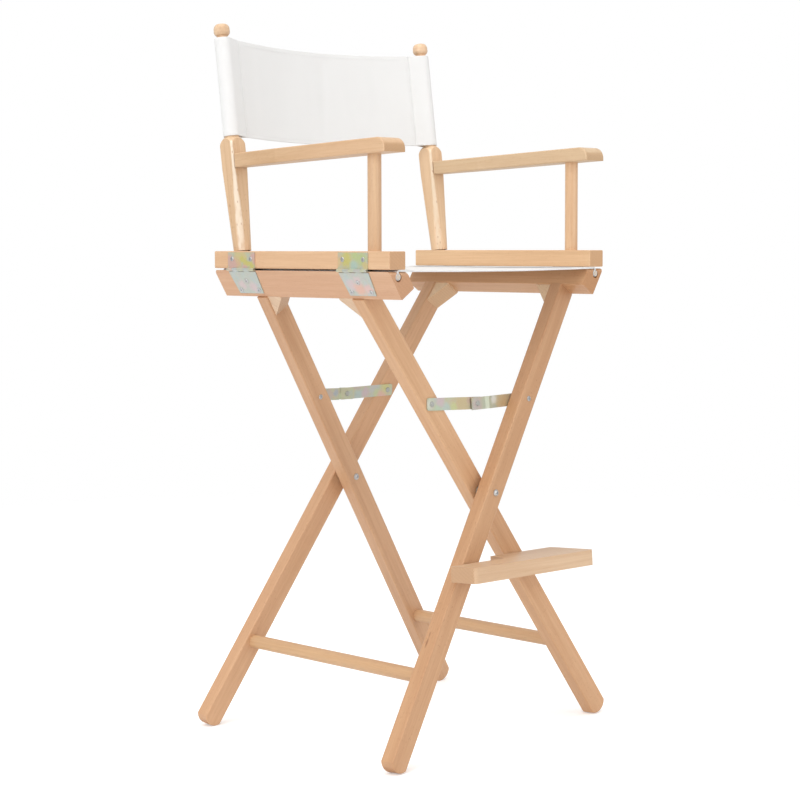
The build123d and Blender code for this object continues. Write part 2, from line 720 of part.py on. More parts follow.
def stay(end):
    """Long link, its leg rivet, short link, middle rivet and the short link's screw."""
    long_plane, long_run = link_plane(-end, end)
    short_plane, short_run = link_plane(end, end)

    with BuildPart() as long_link:
        with BuildSketch(long_plane.offset(STAY_GAP)):
            with Locations((long_run / 2 + 1.0, 0)):
                RectangleRounded(long_run + LONG_LINK_OVER, STAY_H, STAY_END_R)
            Circle(RIVET_HOLE_R, mode=Mode.SUBTRACT)
        extrude(amount=STAY_T)

    rivet_head = STAY_GAP + STAY_T + RIVET_PLAY
    with BuildPart() as leg_rivet:
        with BuildSketch(long_plane.offset(-RIVET_IN)):
            Circle(RIVET_R)
        extrude(amount=RIVET_IN + rivet_head)
        with BuildSketch(long_plane.offset(rivet_head)):
            Circle(LEG_RIVET_HEAD_R)
        extrude(amount=HEAD_EDGE)
        with BuildSketch(long_plane.offset(rivet_head + HEAD_EDGE)):
            Circle(LEG_RIVET_HEAD_R)
        extrude(amount=DOME_H, taper=45)

    lap_plane = long_plane.offset(STAY_GAP + STAY_T + STAY_LAP)  # clear of the long link

    def lap_height(x):
        """Height of the lap plane over the short link's plane."""
        at = short_plane.from_local_coords(Vector(x, 0, 0))
        rise = (lap_plane.origin - at).dot(lap_plane.z_dir)
        return rise / short_plane.z_dir.dot(lap_plane.z_dir)

    # flat on its leg, then stepped to lap the long link; (x, height over the leg's face)
    tip = short_run + 13.0
    edge = [
        (-LINK_END, -STAY_GAP),
        (short_run - 24.0, -STAY_GAP),
        (short_run - 17.0, lap_height(short_run - 17.0) + STAY_T),
        (tip, lap_height(tip) + STAY_T),
        (tip, lap_height(tip)),
        (short_run - 17.6, lap_height(short_run - 17.6)),
        (short_run - 24.6, -STAY_GAP - STAY_T),
        (-LINK_END, -STAY_GAP - STAY_T),
    ]
    # the edge plane's local y is the short plane's -z
    edge_plane = Plane(
        origin=short_plane.origin, x_dir=short_plane.x_dir, z_dir=short_plane.y_dir
    )
    with BuildPart() as short_link:
        with BuildSketch(edge_plane):
            with BuildLine():
                Polyline(*[(x, -height) for x, height in edge], close=True)
            make_face()
        extrude(amount=STAY_H / 2, both=True)
        with BuildSketch(short_plane.offset(-12)):
            Circle(RIVET_HOLE_R)
        extrude(amount=24, mode=Mode.SUBTRACT)

    joint = short_plane.from_local_coords(Vector(short_run, 0, lap_height(short_run)))
    head = Plane(origin=joint + lap_plane.z_dir * (STAY_T + 0.08), z_dir=lap_plane.z_dir)
    with BuildPart() as mid_rivet:
        with BuildSketch(head):
            Circle(MID_RIVET_HEAD_R)
        extrude(amount=HEAD_EDGE)
        with BuildSketch(head.offset(HEAD_EDGE)):
            Circle(MID_RIVET_HEAD_R)
        extrude(amount=DOME_H, taper=45)

    # through the front leg: cross-recessed head in front, flat head behind the link
    back_head = short_plane.offset(-rivet_head)
    with BuildPart() as leg_screw:
        with BuildSketch(back_head):
            Circle(RIVET_R)
        extrude(amount=LEG_T + STAY_GAP + STAY_T + 2 * RIVET_PLAY)
        with BuildSketch(short_plane.offset(LEG_T + 0.1)):
            Circle(STAY_SCREW_HEAD_R)
        extrude(amount=HEAD_EDGE)
        with BuildSketch(short_plane.offset(LEG_T + 0.1 + HEAD_EDGE)):
            Circle(STAY_SCREW_HEAD_R)
        extrude(amount=1.0, taper=42)
        with BuildSketch(short_plane.offset(LEG_T + 0.75)):
            Rectangle(STAY_SLOT_L, STAY_SLOT_W)
            Rectangle(STAY_SLOT_W, STAY_SLOT_L)
        extrude(amount=1.4, mode=Mode.SUBTRACT)
        with BuildSketch(back_head):
            Circle(STAY_SCREW_BACK_R)
        extrude(amount=-1.2)

    return {
        "long": long_link.part,
        "rivet": leg_rivet.part,
        "short": short_link.part,
        "mid_rivet": mid_rivet.part,
        "screw": leg_screw.part,
    }


# ---- footrest: a notched board pivoted on the outer front leg -----------------

BOARD_Z = 295.2  # top of the board where it meets the inner front leg
BOARD_T = 25.0
BOARD_D = 96.5
BOARD_X0, BOARD_X1 = -116.5, 156.0
BOARD_CORNER_R = 7.0
NOTCH_X = 5.0  # slanting wall of the notch
BOARD_INNER_GAP = 3.0  # board to the inner front leg
BOARD_OUTER_GAP = 3.4  # board to the outer front leg, at the bolt
FOOT_BOLT_R, FOOT_BOLT_HOLE_R = 3.0, 3.06
FOOT_BOLT_IN = 16.0  # depth in the board
FOOT_BOLT_BACK = 3.2  # beyond the leg's rear face
FOOT_BOLT_HEAD_R, FOOT_BOLT_HEAD_T = 6.0, 1.4
PEG_R, PEG_IN, PEG_OUT = 4.0, 14.0, 19.0
PEG_BELOW = 5.4  # peg axis below the board

FORWARD = leg_dirs(INNER, FRONT).out  # square to the inner front leg's front face
BOARD_LEFT = Vector(-FORWARD.Y, FORWARD.X, 0).normalized()  # along the board
BOARD_UP = FORWARD.cross(BOARD_LEFT).normalized()
# top of the board, local y toward the rear
BOARD_PLANE = Plane(
    origin=on_leg(INNER, FRONT, leg_dist_at(BOARD_Z)) + FORWARD * BOARD_INNER_GAP,
    x_dir=BOARD_LEFT,
    z_dir=BOARD_UP,
)
BOARD_MID_Z = (BOARD_PLANE.origin - BOARD_UP * (BOARD_T / 2)).Z
# on the outer front leg's front face, facing forward
FOOT_BOLT_PLANE = Plane(
    origin=on_leg(OUTER, FRONT, leg_dist_at(BOARD_MID_Z - 1.0)),
    x_dir=BOARD_LEFT,
    z_dir=FORWARD,
)


def footrest_board():
    origin = BOARD_PLANE.origin
    notch_d = (FOOT_BOLT_PLANE.origin - origin).dot(FORWARD) + BOARD_OUTER_GAP
    right, left, notch = (x - origin.X for x in (BOARD_X0, BOARD_X1, NOTCH_X))
    with BuildPart() as board:
        with BuildSketch(BOARD_PLANE):
            with BuildLine():
                Polyline(
                    (right, -notch_d),
                    (notch - 3, -notch_d),
                    (notch + 9, 0),
                    (left, 0),
                    (left, -BOARD_D),
                    (right, -BOARD_D),
                    close=True,
                )
            make_face()
        extrude(amount=-BOARD_T)
        front_corners = board.edges().filter_by(
            lambda e: abs(e.length - BOARD_T) < 0.05
            and (e.center() - origin).dot(FORWARD) > BOARD_D - 5
        )
        fillet(front_corners, BOARD_CORNER_R)
        with BuildSketch(FOOT_BOLT_PLANE.offset(-40)):
            Circle(FOOT_BOLT_HOLE_R)
        extrude(amount=40 + BOARD_OUTER_GAP + FOOT_BOLT_IN + 0.5, mode=Mode.SUBTRACT)
    return board.part


def footrest_bolt():
    """Pivot bolt through the outer front leg into the board."""
    back = LEG_T + FOOT_BOLT_BACK
    with BuildPart() as bolt:
        with BuildSketch(FOOT_BOLT_PLANE.offset(-back)):
            Circle(FOOT_BOLT_R)
        extrude(amount=back + BOARD_OUTER_GAP + FOOT_BOLT_IN)
        with BuildSketch(FOOT_BOLT_PLANE.offset(-back)):
            Circle(FOOT_BOLT_HEAD_R)
        extrude(amount=-FOOT_BOLT_HEAD_T)
    return bolt.part


def footrest_peg():
    """Rest peg on the inner front leg, under the board."""
    peg_dist = leg_dist_at(BOARD_MID_Z - BOARD_T / 2 - PEG_BELOW)
    peg_plane = Plane(origin=on_leg(INNER, FRONT, peg_dist), z_dir=FORWARD)
    with BuildPart() as peg:
        with BuildSketch(peg_plane.offset(-PEG_IN)):
            Circle(PEG_R)
        extrude(amount=PEG_IN + PEG_OUT)
        chamfer(peg.faces().sort_by(Axis.Y)[0].edges(), 0.6)
    return peg.part


# ---- all the pieces, by file name -------------------------------------------

pieces = {
    "pivot_bolts": pivot_bolts(),
    "pivot_spacers": pivot_spacers(),
    "pivot_nuts": pivot_nuts(),
    "seat_canvas": seat_canvas(),
    "back_canvas": back_canvas(),
    "footrest_board": footrest_board(),
    "footrest_bolt": footrest_bolt(),
    "footrest_peg": footrest_peg(),
}

for end_name, end in (("front", FRONT), ("rear", REAR)):
    for stay_name, stay_piece in stay(end).items():
        pieces[f"{end_name}_stay_{stay_name}"] = stay_piece

for side_name, side in (("right", RIGHT), ("left", LEFT)):
    posts = [back_post(side), front_post(side)]
    pieces[f"back_post_{side_name}"], pieces[f"front_post_{side_name}"] = posts
    pieces[f"armrest_{side_name}"] = armrest(side, posts)
    pieces[f"seat_rod_{side_name}"] = seat_rod(side)
    pieces[f"hinge_pins_{side_name}"] = hinge_pins(side)
    for level, upper in (("upper", True), ("lower", False)):
        pieces[f"hinge_leaves_{level}_{side_name}"] = hinge_leaves(side, upper)
        pieces[f"hinge_screws_{level}_{side_name}"] = hinge_screws(side, upper)
    upper_screws = pieces[f"hinge_screws_upper_{side_name}"]
    pieces[f"upper_rail_{side_name}"] = upper_rail(side, posts + [upper_screws])

# fittings that enter each leg besides its stretcher
LEG_FITTINGS = {
    "front_outer": ["front_stay_screw", "footrest_bolt"],
    "rear_outer": ["rear_stay_rivet"],
    "front_inner": ["front_stay_rivet", "footrest_peg"],
    "rear_inner": ["rear_stay_screw"],
}

for frame_name, frame, rail_side in (("outer", OUTER, "left"), ("inner", INNER, "right")):
    cross_rod = stretcher(frame)
    pieces[f"stretcher_{frame_name}"] = cross_rod
    legs = []
    for end_name, end in (("front", FRONT), ("rear", REAR)):
        leg_name = f"{end_name}_{frame_name}"
        fittings = [pieces[name] for name in LEG_FITTINGS[leg_name]]
        legs.append(leg(frame, end, [cross_rod] + fittings))
        pieces[f"leg_{leg_name}"] = legs[-1]
    rail = lower_rail(frame, legs + [pieces[f"hinge_screws_lower_{rail_side}"]])
    pieces[f"lower_rail_{rail_side}"] = rail
    pieces[f"corner_blocks_{rail_side}"] = corner_blocks(frame, rail, legs)

os.makedirs("parts", exist_ok=True)
for label, piece in pieces.items():
    piece.move(Location((0, ORIGIN_Y, 0)))
    piece.label = label
    export_step(piece, "parts/" + label + ".step")
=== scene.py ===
"""A folding director's chair: lacquered beech frame, zinc-plated metal, white canvas.

The chair stands on z = 0 and faces -Y; +X is its left side and +Z is up. Places written in the
script have y = 0 midway along the rails; the CAD has that middle at MID_Y (see placed).
"""
import bpy
import bmesh
import math
from mathutils import Vector, Matrix, noise


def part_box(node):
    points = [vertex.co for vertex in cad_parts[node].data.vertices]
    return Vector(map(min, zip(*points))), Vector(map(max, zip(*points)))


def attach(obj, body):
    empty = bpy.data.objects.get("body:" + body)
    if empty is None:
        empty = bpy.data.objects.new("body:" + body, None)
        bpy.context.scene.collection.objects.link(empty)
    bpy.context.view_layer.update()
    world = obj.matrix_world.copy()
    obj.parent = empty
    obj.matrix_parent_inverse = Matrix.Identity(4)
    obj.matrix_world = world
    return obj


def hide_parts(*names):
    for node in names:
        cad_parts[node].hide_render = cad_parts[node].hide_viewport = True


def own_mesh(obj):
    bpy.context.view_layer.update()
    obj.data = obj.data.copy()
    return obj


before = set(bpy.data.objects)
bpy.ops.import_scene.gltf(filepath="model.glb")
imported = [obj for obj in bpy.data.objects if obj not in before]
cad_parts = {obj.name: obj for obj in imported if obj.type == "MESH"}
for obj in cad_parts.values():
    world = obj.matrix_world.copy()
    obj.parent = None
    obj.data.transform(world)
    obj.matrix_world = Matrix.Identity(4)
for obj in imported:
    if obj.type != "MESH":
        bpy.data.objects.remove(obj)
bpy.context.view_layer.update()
rail_lo, rail_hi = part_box("upper_rail_right")
MID_Y = (rail_lo[1] + rail_hi[1]) / 2

# ---------------------------------------------------------------- driving dimensions, metres
LEAN = math.radians(7.55)  # the back posts lean rearward
POST_DIR = (0, math.sin(LEAN), math.cos(LEAN))
POST_X, POST_Y, POST_Z = 0.2317, 0.1555, 0.788  # foot of the left upper post, on its axis
POST_EDGE = 0.0146  # post axis to its faces
LEG_SPLAY, LEG_TILT = math.radians(33.7), math.radians(4.8)  # sideways, front to back
FRONT_STAY_Y, REAR_STAY_Y = -0.143, 0.154

CLOTH = 0.00115  # canvas thickness
BACK_LOW, BACK_HIGH = 0.1875, 0.3475  # back canvas, measured up the post
BACK_HEIGHT = BACK_HIGH - BACK_LOW
BACK_HEM, BACK_HEM_EXTRA = 0.0085, 0.14  # hem width, added share of thickness
SLEEVE_R = 0.0130  # middle of the cloth round the post
SEW = 0.0320  # seam, inboard of the post axis
FLAP = 0.0400  # free edge of the sleeve's rear flap, inboard of the post axis
PANEL_HALF = POST_X - SEW
SEAM_Y = 0.0010  # the seam lies just behind the post axis

SEAT_Z = 0.7582
SEAT_Y = 0.201  # half the seat's depth
SEAT_HEM, SEAT_HEM_EXTRA = 0.011, 0.6
SEAT_CUT = 0.228  # outboard of this the cloth rides rigidly with its rail
ROD_X, ROD_Z = 0.233, 0.7494
ROD_LOOP_R = 0.0046  # cloth round the rod
SLOT_HALF = 0.0008  # rod axis to each of the two layers in the slot
SLOT_TOP = 0.7558

STITCH_PITCH, STITCH_LENGTH, STITCH_R = 0.0034, 0.0024, 0.00034
STITCH_INSET = 0.0022  # hem stitches, in from the hem's inner edge


def placed(point):
    """Move a point from rail-centred places into the CAD's frame."""
    x, y, z = point
    return x, y + MID_Y, z


def tint(color, factors):
    return tuple(c * f for c, f in zip(color, factors))


def gray(value):
    return (value,) * 3


# ---------------------------------------------------------------- node helpers
class Nodes:
    def __init__(self, owner):
        owner.use_nodes = True
        self.tree = owner.node_tree
        self.tree.nodes.clear()

    def fill(self, node, inputs):
        """Set or link inputs, keyed by name or index."""
        for key, value in inputs.items():
            socket = node.inputs[key]
            if isinstance(value, bpy.types.NodeSocket):
                self.tree.links.new(value, socket)
            elif socket.type == "RGBA":
                socket.default_value = (*value, 1)
            else:
                socket.default_value = value

    def node(self, kind, inputs=None, **settings):
        node = self.tree.nodes.new("ShaderNode" + kind)
        for key, value in settings.items():
            setattr(node, key, value)
        self.fill(node, inputs or {})
        return node


class Shader(Nodes):
    """A Principled material with short ways to add nodes."""

    def __init__(self, name):
        self.material = bpy.data.materials.new(name)
        super().__init__(self.material)
        self.output = self.node("OutputMaterial")
        self.bsdf = self.node("BsdfPrincipled")
        self.fill(self.output, {0: self.bsdf.outputs[0]})
        coords = self.node("TexCoord").outputs
        self.object, self.uv, self.normal = coords["Object"], coords["UV"], coords["Normal"]

    def surface(self, inputs):
        self.fill(self.bsdf, inputs)

    def mapping(self, vector, loc=(0, 0, 0), rot=(0, 0, 0), scale=(1, 1, 1)):
        inputs = {0: vector, 1: loc, 2: rot, 3: scale}
        return self.node("Mapping", inputs).outputs[0]

    def noise(self, vector, stretch=None, scale=1.0, detail=3.0, rough=0.5, distort=0.0):
        if stretch:
            vector = self.mapping(vector, scale=stretch)
        inputs = {"Vector": vector, "Scale": scale, "Detail": detail,
                  "Roughness": rough, "Distortion": distort}
        return self.node("TexNoise", inputs).outputs[0]

    def cells(self, vector, stretch):
        """Distance to the nearest cell centre, and one random value per cell."""
        vector = self.mapping(vector, scale=stretch)
        outputs = self.node("TexVoronoi", {"Vector": vector, "Scale": 1.0}).outputs
        return outputs["Distance"], self.split(outputs["Color"])[0]

    def math(self, operation, first, second=0.0):
        return self.node("Math", {0: first, 1: second}, operation=operation).outputs[0]

    def add(self, first, second):
        return self.math("ADD", first, second)

    def sub(self, first, second):
        return self.math("SUBTRACT", first, second)

    def mul(self, first, second):
        return self.math("MULTIPLY", first, second)

    def wobble(self, value, amount):
        """Turn noise into an offset about zero."""
        return self.mul(self.sub(value, 0.5), amount)

    def vec(self, operation, first, second=(0, 0, 0)):
        outputs = self.node("VectorMath", {0: first, 1: second}, operation=operation).outputs
        scalar = operation in ("DOT_PRODUCT", "LENGTH", "DISTANCE")
        return outputs["Value"] if scalar else outputs[0]

    def offset(self, point):
        """Vector from a rail-centred place to the shaded point."""
        return self.vec("SUBTRACT", self.object, placed(point))

    def split(self, vector):
        return self.node("SeparateXYZ", {0: vector}).outputs

    def step(self, value, span, to=(0.0, 1.0)):
        """Smooth change between the two values of `to` as value crosses `span`."""
        inputs = {0: value, 1: span[0], 2: span[1], 3: to[0], 4: to[1]}
        return self.node("MapRange", inputs, interpolation_type="SMOOTHSTEP").outputs[0]

    def mix(self, factor, first, second):
        return self.node("Mix", {0: factor, 6: first, 7: second}, data_type="RGBA").outputs[2]

    def ramp(self, value, stops):
        node = self.node("ValToRGB", {0: value})
        elements = node.color_ramp.elements
        while len(elements) > 1:
            elements.remove(elements[-1])
        elements[0].position = stops[0][0]
        elements[0].color = (*stops[0][1], 1)
        for position, color in stops[1:]:
            elements.new(position).color = (*color, 1)
        return node.outputs[0]

    def bump(self, height, distance, strength):
        inputs = {"Strength": strength, "Distance": distance, "Height": height}
        return self.node("Bump", inputs).outputs[0]


# ---------------------------------------------------------------- beech
def knot(mat, col, rot, warp, dark, spec):
    """A dark scar stretched along the grain."""
    point, length, width, strength = spec
    local = mat.mapping(mat.offset(point), rot=rot)
    local = mat.mapping(local, scale=(1 / length, 1 / width, 1 / width))
    away = mat.add(mat.vec("LENGTH", local), mat.wobble(warp, 0.8))
    scar = tint(dark, (0.50, 0.36, 0.26))
    return mat.mix(mat.step(away, span=(0.25, 1.0), to=(strength, 0.0)), col, scar)


def ridge_highlight_band(mat, col, base, dark, spec):
    """A pale, dotted band that narrows up a back post: a painted highlight along its front edge,
    with dark wood flecks in it.
    """
    point, widths, run, pale, strength = spec
    local = mat.offset(point)
    width = mat.step(mat.vec("DOT_PRODUCT", local, POST_DIR), span=(0.0, run), to=widths)
    away = mat.vec("LENGTH", mat.vec("CROSS_PRODUCT", local, POST_DIR))
    ragged = mat.noise(base, stretch=(70.0, 200.0, 200.0), detail=2.0)
    away = mat.add(mat.math("DIVIDE", away, width), mat.wobble(ragged, 0.9))
    col = mat.mix(mat.step(away, span=(0.45, 1.15), to=(strength, 0.0)), col, pale)
    distance, pick = mat.cells(base, stretch=(110.0, 260.0, 260.0))
    dots = mat.mul(mat.step(distance, span=(0.15, 0.32), to=(0.55, 0.0)),
                   mat.step(pick, span=(0.62, 0.70)))
    dots = mat.mul(dots, mat.step(away, span=(0.6, 1.3), to=(1.0, 0.0)))
    return mat.mix(dots, col, tint(dark, (0.72, 0.58, 0.46)))


def end_grain(mat, base, warp, light, dark):
    """Fine rings with pores."""
    slant, frequency, waviness = 0.45, 2300.0, 26.0
    y, z = mat.split(base)[1], mat.split(base)[2]
    across = mat.mul(mat.add(y, mat.mul(z, slant)), frequency)
    ring = mat.math("SINE", mat.add(across, mat.mul(warp, waviness)))
    col = mat.mix(mat.step(ring, span=(-0.6, 1.0)),
                  tint(light, (0.88, 0.80, 0.74)), tint(dark, (0.84, 0.74, 0.65)))
    pore = mat.noise(base, stretch=gray(900.0), detail=2.0)
    return mat.mix(mat.step(pore, span=(0.42, 0.62), to=(0.0, 0.25)), col, tint(dark, gray(0.66)))


def beech(name, grain, seed, light, dark, fleck, knots, ridge_highlights, tone_and_shade_steps):
    """Clear-lacquered beech; the grain runs along the given direction of the piece."""
    mat = Shader(name)
    grain = Vector(grain).normalized()
    rot = grain.rotation_difference(Vector((1, 0, 0))).to_euler("XYZ")
    base = mat.mapping(mat.object, loc=(seed * 0.37, seed * 0.113, seed * 0.071), rot=rot)
    # broad growth figure, streaks and fine fibres
    warp = mat.noise(base, stretch=(3.0, 9.0, 9.0), detail=2.0)
    figure = mat.noise(base, stretch=(2.2, 62.0, 62.0), distort=0.7)
    streak = mat.noise(base, stretch=(7.0, 300.0, 300.0), detail=4.0, rough=0.62)
    fibre = mat.noise(base, stretch=(45.0, 1500.0, 1500.0), rough=0.6)
    figure_share, warp_share = 0.55, 0.45
    tone = mat.add(mat.mul(figure, figure_share), mat.mul(warp, warp_share))
    col = mat.mix(mat.step(tone, span=(0.30, 0.66)), light, dark)
    col = mat.mix(mat.step(streak, span=(0.36, 0.72), to=(0.0, 0.42)), col,
                  tint(dark, (0.90, 0.83, 0.76)))
    col = mat.mix(mat.step(fibre, span=(0.30, 0.70), to=(0.26, 0.0)), col,
                  [min(1, c * 1.10) for c in light])
    # short dark ray flecks, in patches over an even share of them
    patch_share, even_share, fleck_strength = 0.7, 0.3, 0.55
    distance, pick = mat.cells(base, stretch=(120.0, 640.0, 640.0))
    flecks = mat.mul(mat.step(distance, span=(0.10, 0.30), to=(1.0, 0.0)),
                     mat.step(pick, span=(0.60, 0.72)))
    patch = mat.noise(base, stretch=(6.0, 25.0, 25.0), detail=1.0)
    patch = mat.step(patch, span=(0.38, 0.60))
    flecks = mat.mul(flecks, mat.add(mat.mul(patch, patch_share), even_share))
    col = mat.mix(mat.mul(flecks, fleck_strength * fleck), col, tint(dark, (0.62, 0.50, 0.40)))
    for spec in knots:
        col = knot(mat, col, rot, warp, dark, spec)
    # painted highlight bands along the back posts' front edge
    for spec in ridge_highlights:
        col = ridge_highlight_band(mat, col, base, dark, spec)
    # tint steps along a direction; on the armrests they are painted shade and painted light
    for way, span, factors in tone_and_shade_steps:
        along = mat.vec("DOT_PRODUCT", mat.offset((0, 0, 0)), way)
        col = mat.mix(mat.step(along, span=span), col, mat.vec("MULTIPLY", col, factors))
    facing = mat.math("ABSOLUTE", mat.vec("DOT_PRODUCT", mat.normal, tuple(grain)))
    end = mat.step(facing, span=(0.80, 0.97))
    col = mat.mix(end, col, end_grain(mat, base, warp, light, dark))
    # lacquer: rougher in the streaks and on the end grain
    rough, streak_rough, end_rough = 0.34, 0.16, 0.18
    roughness = mat.add(mat.mul(streak, streak_rough), rough)
    # relief: shares of streak, fibre and sunk flecks
    streak_relief, fibre_relief, fleck_relief = 0.6, 0.4, 0.35
    relief = mat.add(mat.mul(streak, streak_relief), mat.mul(fibre, fibre_relief))
    relief = mat.sub(relief, mat.mul(flecks, fleck_relief))
    mat.surface({
        "Base Color": col, "Roughness": mat.add(roughness, mat.mul(end, end_rough)),
        "Specular IOR Level": 0.42, "Coat Weight": 0.18, "Coat Roughness": 0.30,
        "Normal": mat.bump(relief, distance=0.00022, strength=0.45)})
    return mat.material


# ---------------------------------------------------------------- canvas and thread
def canvas(name):
    """White cotton canvas in plain weave; its UVs are in metres."""
    base, shade = (0.835, 0.832, 0.824), (0.765, 0.762, 0.754)
    thread_pitch = 0.00078
    waver = 0.0009  # sideways wander of the threads
    low, swing = 0.62, 0.38  # thread height, and its rise and fall over the crossings
    slub_tone, slub_relief, fluff_relief = 0.30, 0.5, 0.4
    mat = Shader(name)
    uv = mat.uv
    wander = mat.noise(uv, scale=90.0, detail=2.0)
    wander = mat.node("CombineXYZ", {0: wander, 1: wander, 2: wander}).outputs[0]
    wander = mat.vec("MULTIPLY", mat.vec("SUBTRACT", wander, gray(0.5)), (waver, waver, 0))
    threads = mat.split(mat.vec("ADD", uv, wander))
    wave_u = mat.math("SINE", mat.mul(threads[0], math.pi / thread_pitch))
    wave_v = mat.math("SINE", mat.mul(threads[1], math.pi / thread_pitch))
    over = mat.mul(wave_u, wave_v)
    warp, weft = mat.math("ABSOLUTE", wave_u), mat.math("ABSOLUTE", wave_v)
    weave = mat.math("MAXIMUM", mat.mul(warp, mat.add(low, mat.mul(over, swing))),
                     mat.mul(weft, mat.sub(low, mat.mul(over, swing))))
    slub_u = mat.noise(uv, stretch=(1300.0, 60.0, 1.0), detail=2.0)
    slub_v = mat.noise(uv, stretch=(60.0, 1300.0, 1.0), detail=2.0)
    slub = mat.add(mat.step(slub_u, span=(0.60, 0.80)), mat.step(slub_v, span=(0.60, 0.80)))
    col = mat.mix(mat.step(weave, span=(0.15, 0.80), to=(0.55, 0.0)), base, shade)
    col = mat.mix(mat.mul(slub, slub_tone), col, tint(base, gray(1.03)))
    blot = mat.noise(uv, scale=9.0)
    col = mat.mix(mat.step(blot, span=(0.35, 0.75), to=(0.0, 0.22)), col,
                  tint(base, gray(0.955)))
    relief = mat.add(weave, mat.mul(slub, slub_relief))
    relief = mat.add(relief, mat.mul(mat.noise(uv, scale=500.0), fluff_relief))
    mat.surface({
        "Base Color": col, "Roughness": 0.88, "Specular IOR Level": 0.18,
        "Sheen Weight": 0.18, "Sheen Roughness": 0.5,
        "Normal": mat.bump(relief, distance=0.00016, strength=0.55)})
    return mat.material


def thread(name):
    mat = Shader(name)
    grit = mat.noise(mat.object, scale=1800.0, detail=2.0)
    stops = [(0.3, (0.70, 0.70, 0.69)), (0.7, (0.86, 0.86, 0.85))]
    mat.surface({"Base Color": mat.ramp(grit, stops), "Roughness": 0.7,
                 "Normal": mat.bump(grit, distance=0.0001, strength=0.5)})
    return mat.material


# ---------------------------------------------------------------- metals
def zinc(name, seed, base, amount, spots):
    """Yellow passivated zinc; spots (x, y, z, radius, colour) stain a pale iridescent plate."""
    mat = Shader(name)
    coords = mat.mapping(mat.object, loc=(seed, seed * 0.7, seed * 1.3))
    clouds = mat.noise(coords, scale=55.0, rough=0.55, distort=0.6)
    mottle = mat.noise(coords, scale=130.0, rough=0.6, distort=0.3)
    fine = mat.noise(coords, scale=900.0, rough=0.6)
    col = mat.ramp(clouds, [
        (0.28, (0.56, 0.42, 0.40)), (0.40, (0.60, 0.53, 0.33)), (0.50, (0.52, 0.58, 0.36)),
        (0.60, (0.47, 0.56, 0.52)), (0.72, (0.60, 0.47, 0.50))])
    col = mat.mix(amount, col, base)
    for x, y, z, radius, stain in spots:
        away = mat.vec("DISTANCE", mat.object, placed((x, y, z)))
        away = mat.add(mat.math("DIVIDE", away, radius), mat.wobble(mottle, 1.1))
        col = mat.mix(mat.step(away, span=(0.35, 1.15), to=(0.90, 0.0)), col, stain)
    col = mat.mix(mat.step(fine, span=(0.40, 0.75), to=(0.0, 0.30)), col, (0.70, 0.70, 0.66))
    rough, mottle_rough = 0.30, 0.22
    fine_relief, brush_relief = 0.6, 0.4
    brush = mat.noise(coords, stretch=(300.0, 40.0, 1400.0), detail=2.0)
    relief = mat.add(mat.mul(fine, fine_relief), mat.mul(brush, brush_relief))
    mat.surface({"Base Color": col, "Metallic": 0.55,
                 "Roughness": mat.add(rough, mat.mul(mottle, mottle_rough)),
                 "Normal": mat.bump(relief, distance=0.00012, strength=0.35)})
    return mat.material


def bright(name, tone, rough):
    """Plain plated steel."""
    mat = Shader(name)
    fine = mat.noise(mat.object, scale=700.0)
    broad = mat.noise(mat.object, scale=90.0, detail=2.0)
    col = mat.ramp(fine, [(0.30, tint(tone, gray(0.72))), (0.68, tone)])
    col = mat.mix(mat.step(broad, span=(0.35, 0.7), to=(0.0, 0.3)), col,
                  tint(tone, (0.92, 0.90, 0.80)))
    fine_rough = 0.16
    mat.surface({"Base Color": col, "Metallic": 0.95,
                 "Roughness": mat.add(rough, mat.mul(fine, fine_rough)),
                 "Normal": mat.bump(fine, distance=0.0001, strength=0.3)})
    return mat.material


def assign(piece, material):
    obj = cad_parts[piece]
    if len(obj.material_slots) == 0:
        obj.data.materials.append(material)
    for slot in obj.material_slots:
        slot.material = material


# ---------------------------------------------------------------- wooden parts
def leg_dir(side, depth):
    """Direction down a leg that runs towards the given X and Y signs."""
    return (side * math.sin(LEG_SPLAY) * math.cos(LEG_TILT), depth * math.sin(LEG_TILT),
            -math.cos(LEG_SPLAY) * math.cos(LEG_TILT))


LIGHT, DARK = (0.775, 0.535, 0.340), (0.640, 0.405, 0.240)
ROD_LIGHT, ROD_DARK = (0.80, 0.76, 0.69), (0.72, 0.67, 0.59)
PLAIN = (1, 1, 1)
DEPTH, UPRIGHT, ARM_DIR = (0, 1, 0), (0, 0, 1), (0, -1, 0.037)
